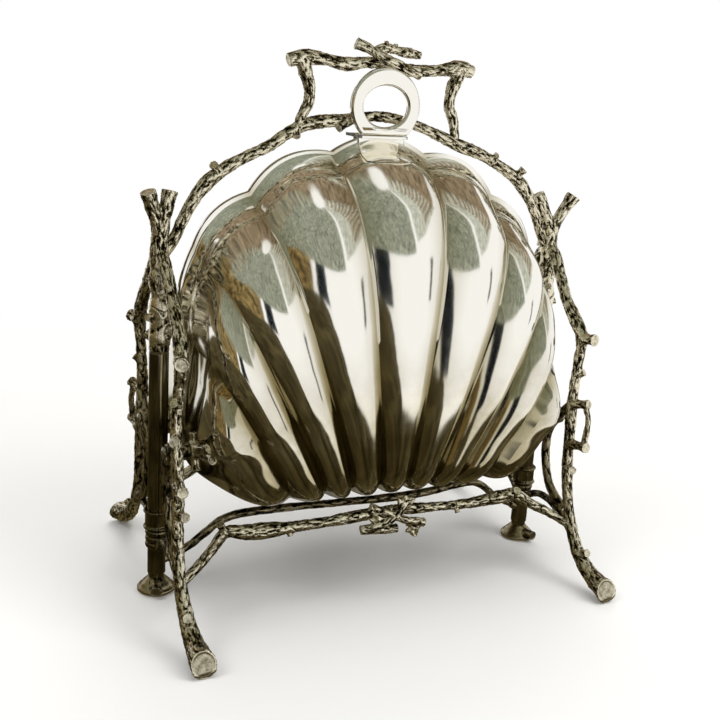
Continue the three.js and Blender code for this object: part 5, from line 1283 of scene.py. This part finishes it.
def makeHinge(face):
    columns = np.linspace(-flap["half"], flap["half"], 63)
    near, far = -flap["middle"] - flap["leafThickness"] / 2, -flap["middle"] + flap["leafThickness"] / 2
    top = flap["hinge"] - flap["knuckle"] - 0.3
    points = []
    for x in columns:
        hit = outerSkin.ray_cast(Vector((x, -flap["middle"], 86)), Vector((0, 0, -1)))[0]
        low = min(hit.z + 2.0, top - 1) if hit is not None else top - 4
        points += [(x, near, low), (x, near, top), (x, far, top), (x, far, low)]
    faces = [(4 * c + r, 4 * c + (r + 1) % 4, 4 * c + 4 + (r + 1) % 4, 4 * c + 4 + r)
             for c in range(len(columns) - 1) for r in range(4)]
    last = 4 * len(columns) - 4
    faces += [(0, 1, 2, 3), (last + 3, last + 2, last + 1, last)]
    node = f"{end(face)}_flap_hinge_leaf"
    thing = makeObject(f"sheet_{node}", np.array(points) * mm, faces, giltMaterial)
    points, faces = knuckleParts(flap["leafKnuckles"], top - 2, flap["hinge"], flap["leafThickness"])
    joinTo(thing, points, faces, giltMaterial)
    if face > 0:
        thing.data.transform(Matrix.Rotation(math.pi, 4, "Z"))
    sharpen(thing)
    placed(thing, f"{end(face)}_shell_half", "gilt_flap", node)
    flip = Matrix.Rotation(0 if face < 0 else math.pi, 4, "Z")
    reach = 2 * flap["half"]
    profile = [(0.01, 0), (flap["pin"] * 0.6, 0.1), (flap["pin"], 0.5), (flap["pin"], reach - 0.5),
               (flap["pin"] * 0.6, reach - 0.1), (0.01, reach)]
    turn = flip @ Matrix.Translation((-flap["half"] * mm, -flap["middle"] * mm, flap["hinge"] * mm))
    turn = turn @ Matrix.Rotation(math.pi / 2, 4, "Y") @ Matrix.Scale(mm, 4)
    node = f"{end(face)}_flap_hinge_pin"
    turnedPiece(f"turned_{node}", profile, 24, turn, steelMaterial, f"{end(face)}_shell_half", "pin_steel", node, 0.15)
    profile = [(r * flap["knob"], h * flap["knob"]) for r, h in flap["knobShape"]]
    turn = flip @ Matrix.Translation((0, (-flap["middle"] + flap["thickness"] / 2 + 0.3) * mm, flap["knobAt"] * mm))
    turn = turn @ Matrix.Rotation(-math.pi / 2, 4, "X") @ Matrix.Scale(mm, 4)
    node = f"{end(face)}_flap_knob"
    turnedPiece(f"turned_{node}", profile, 48, turn, giltMaterial, f"{end(face)}_flap_grille", "gilt_flap", node, 0.2)


for face in (-1, 1):
    for side in (-1, 1):
        makeLug(side, face)
        makePin(side, face)
    makeStrap(face)
    makeFlap(face)
    makeHinge(face)
makeRing()
print("lugs, pins, straps, ring and flaps made")


# ---- camera, floor, lamps
view = {"place": (-238.0, -493.7, 275.0), "right": (0.90823, -0.41342, 0.06408),
        "up": (0.05722, 0.27455, 0.95976), "lens": 52.34}
cameraData = bpy.data.cameras.new("viewCamera")
cameraData.lens = view["lens"]
cameraData.clip_start = 0.01
camera = bpy.data.objects.new("viewCamera", cameraData)
bpy.context.scene.collection.objects.link(camera)
right, up = Vector(view["right"]).normalized(), Vector(view["up"]).normalized()
back = right.cross(up).normalized()
turn = Matrix((right, back.cross(right), back)).transposed().to_4x4()
camera.matrix_world = Matrix.Translation(Vector(view["place"]) * mm) @ turn
bpy.context.scene.camera = camera

studio = {"floor": "#f4f3f0", "background": "#ffffff", "wrap": 0.5, "floorSize": 6.0, "fadeStart": 0.26, "fadeEnd": 0.62,
          # azimuth, elevation, distance, size, power
          "softboxes": [(40, 40, 1.5, 0.9, 10), (-80, 45, 1.6, 0.8, 6), (160, 50, 1.6, 0.9, 7), (0, 88, 1.5, 1.0, 5)],
          # azimuth, lowest and highest elevation, width in degrees, blotch size, dark and light tone
          "flags": [(-30, -9, 26, 22, 4, "#0b0e14", "#262b30"), (-86, -9, 30, 84, 5, "#2a2112", "#b79f6c"),
                    (-42, 21, 84, 150, 14, "#333a30", "#ced3bf"), (66, 26, 84, 62, 12, "#8b9180", "#f2f3ea"),
                    (64, -9, 12, 9, 4, "#14150f", "#3a3a30"), (140, -9, 24, 40, 5, "#2c2a1e", "#7d7558"),
                    (200, -9, 26, 18, 4, "#111310", "#34332b"), (238, -9, 26, 34, 5, "#2c2618", "#7b6b4a"),
                    (160, 28, 84, 200, 10, "#4a3f33", "#bfab8c")],
          # azimuth and reach of the dark table, a glowing sheet that paints a dark reflection into the metal
          "table": {"blotch": 9, "dark": "#302b1b", "light": "#6a6044",
                    "reach": [(-180, 0.34), (-140, 0.5), (-118, 2.6), (-34, 2.6), (-22, 0.7), (-8, 0.32), (60, 0.27),
                              (120, 0.34), (180, 0.34)]}}


def studioWorld():
    world = bpy.data.worlds.new("paleStudio")
    world.use_nodes = True
    tree = world.node_tree
    tree.nodes.clear()
    plain = addNode(tree, "ShaderNodeBackground", {"Color": toLinear(studio["background"]), "Strength": studio["wrap"]})
    white = addNode(tree, "ShaderNodeBackground", {"Color": toLinear(studio["background"]), "Strength": 1.0})
    mixed = addNode(tree, "ShaderNodeMixShader", {0: seenRays(tree), 1: plain.outputs[0], 2: white.outputs[0]})
    addNode(tree, "ShaderNodeOutputWorld", {"Surface": mixed.outputs[0]})
    bpy.context.scene.world = world


def seenRays(tree):
    # 1 for rays from the camera, off metal and through glass
    rays = addNode(tree, "ShaderNodeLightPath")
    glossy = addNode(tree, "ShaderNodeMath", {0: rays.outputs["Is Camera Ray"], 1: rays.outputs["Is Glossy Ray"]},
                     operation="MAXIMUM")
    return addNode(tree, "ShaderNodeMath", {0: glossy.outputs[0], 1: rays.outputs["Is Transmission Ray"]},
                   operation="MAXIMUM").outputs[0]


# Matt pale floor paint: it keeps the shadow near the object and fades to plain white further out
def floorPaint():
    material = bpy.data.materials.new("pale_floor_paint")
    material.use_nodes = True
    tree = material.node_tree
    shader = tree.nodes["Principled BSDF"]
    shader.inputs["Base Color"].default_value = toLinear(studio["floor"])
    shader.inputs["Roughness"].default_value = 0.7
    shader.inputs["Specular IOR Level"].default_value = 0.2
    place = addNode(tree, "ShaderNodeTexCoord").outputs["Object"]
    reach = addNode(tree, "ShaderNodeVectorMath", {0: place}, operation="LENGTH").outputs["Value"]
    fade = addNode(tree, "ShaderNodeMapRange", {"Value": reach, "From Min": studio["fadeStart"],
                   "From Max": studio["fadeEnd"]}, interpolation_type="SMOOTHSTEP").outputs["Result"]
    share = addNode(tree, "ShaderNodeMath", {0: fade, 1: seenRays(tree)}, operation="MULTIPLY").outputs[0]
    white = addNode(tree, "ShaderNodeEmission", {"Color": toLinear(studio["background"]), "Strength": 1.0})
    mixed = addNode(tree, "ShaderNodeMixShader", {0: share, 1: shader.outputs[0], 2: white.outputs[0]})
    tree.links.new(mixed.outputs[0], tree.nodes["Material Output"].inputs["Surface"])
    return material


# Mottled glowing sheet with a soft edge, seen only in the metal: it paints the reflection of a studio cloth there
def flagCloth(name, blotch, dark, light):
    material = bpy.data.materials.new(name)
    material.use_nodes = True
    tree = material.node_tree
    tree.nodes.clear()
    place = addNode(tree, "ShaderNodeTexCoord").outputs["Object"]
    noise = addNode(tree, "ShaderNodeTexNoise", {"Vector": place, "Scale": float(blotch), "Detail": 6.0, "Roughness": 0.7})
    ramp = addNode(tree, "ShaderNodeValToRGB", {"Fac": noise.outputs["Fac"]})
    setRamp(ramp, [(0.4, toLinear(dark)), (0.62, toLinear(light))])
    inside = addNode(tree, "ShaderNodeAttribute", attribute_name="inside").outputs["Fac"]
    ragged = addNode(tree, "ShaderNodeMath", {0: noise.outputs["Fac"], 1: 0.6, 2: inside}, operation="MULTIPLY_ADD")
    cover = addNode(tree, "ShaderNodeMapRange", {"Value": ragged.outputs[0], "From Min": 0.34, "From Max": 0.7},
                    interpolation_type="SMOOTHSTEP").outputs["Result"]
    glow = addNode(tree, "ShaderNodeEmission", {"Color": ramp.outputs["Color"], "Strength": 1.0})
    clear = addNode(tree, "ShaderNodeBsdfTransparent")
    mixed = addNode(tree, "ShaderNodeMixShader", {0: cover, 1: clear.outputs[0], 2: glow.outputs[0]})
    addNode(tree, "ShaderNodeOutputMaterial", {"Surface": mixed.outputs[0]})
    return material


def hang(name, points, wide, tall, inside, material):
    cloth = makeObject(name, points, gridFaces(wide, tall), material)
    cloth.data.attributes.new("inside", "FLOAT", "POINT").data.foreach_set("value", inside)
    for kind in ("camera", "diffuse", "shadow", "transmission"):
        setattr(cloth, f"visible_{kind}", False)


def outward(azimuth, elevation, distance):
    a, e = math.radians(azimuth), math.radians(elevation)
    return Vector((math.sin(a) * math.cos(e), -math.cos(a) * math.cos(e), math.sin(e))) * distance


def makeStudio():
    studioWorld()
    half = studio["floorSize"] / 2
    floor = makeObject("floor", [(-half, -half, 0), (half, -half, 0), (half, half, 0), (-half, half, 0)],
                       [(0, 1, 2, 3)], floorPaint())
    aim = Vector((0, 0, 0.13))
    for azimuth, elevation, distance, size, power in studio["softboxes"]:
        lamp = bpy.data.lights.new(f"softbox_{azimuth}", "AREA")
        lamp.shape = "SQUARE"
        lamp.size = size
        lamp.energy = power
        thing = bpy.data.objects.new(lamp.name, lamp)
        bpy.context.scene.collection.objects.link(thing)
        spot = aim + outward(azimuth, elevation, distance)
        thing.location = spot
        thing.rotation_euler = (aim - spot).to_track_quat("-Z", "Y").to_euler()
        thing.visible_camera = False
        thing.visible_glossy = False
    steps, rows = 48, 12
    for number, (azimuth, low, high, width, blotch, dark, light) in enumerate(studio["flags"]):
        points, inside = [], []
        for k in range(steps + 1):
            for r in range(rows + 1):
                points.append(aim + outward(azimuth - width / 2 + width * k / steps, low + (high - low) * r / rows, 2.4))
                sides = min(k, steps - k) / steps * width / 10
                inside.append(min(sides, (rows - r) / rows * (high - low) / 8, 1))
        hang(f"cloth_{number}", points, steps + 1, rows + 1, inside, flagCloth(f"studio_cloth_{number}", blotch, dark, light))
    table = studio["table"]
    points, inside = [], []
    steps = 96
    for k in range(steps + 1):
        azimuth = -180 + 360 * k / steps
        reach = np.interp(azimuth, *zip(*table["reach"]))
        for r in range(1, rows + 1):
            points.append(outward(azimuth, 0, reach * (r / rows) ** 1.6) + Vector((0, 0, 0.001)))
            inside.append(min(1, 5 * (1 - r / rows)))
    hang("table_cloth", points, steps + 1, rows, inside, flagCloth("dark_table_cloth", table["blotch"], table["dark"], table["light"]))


makeStudio()
bpy.context.scene.view_settings.view_transform = "Standard"
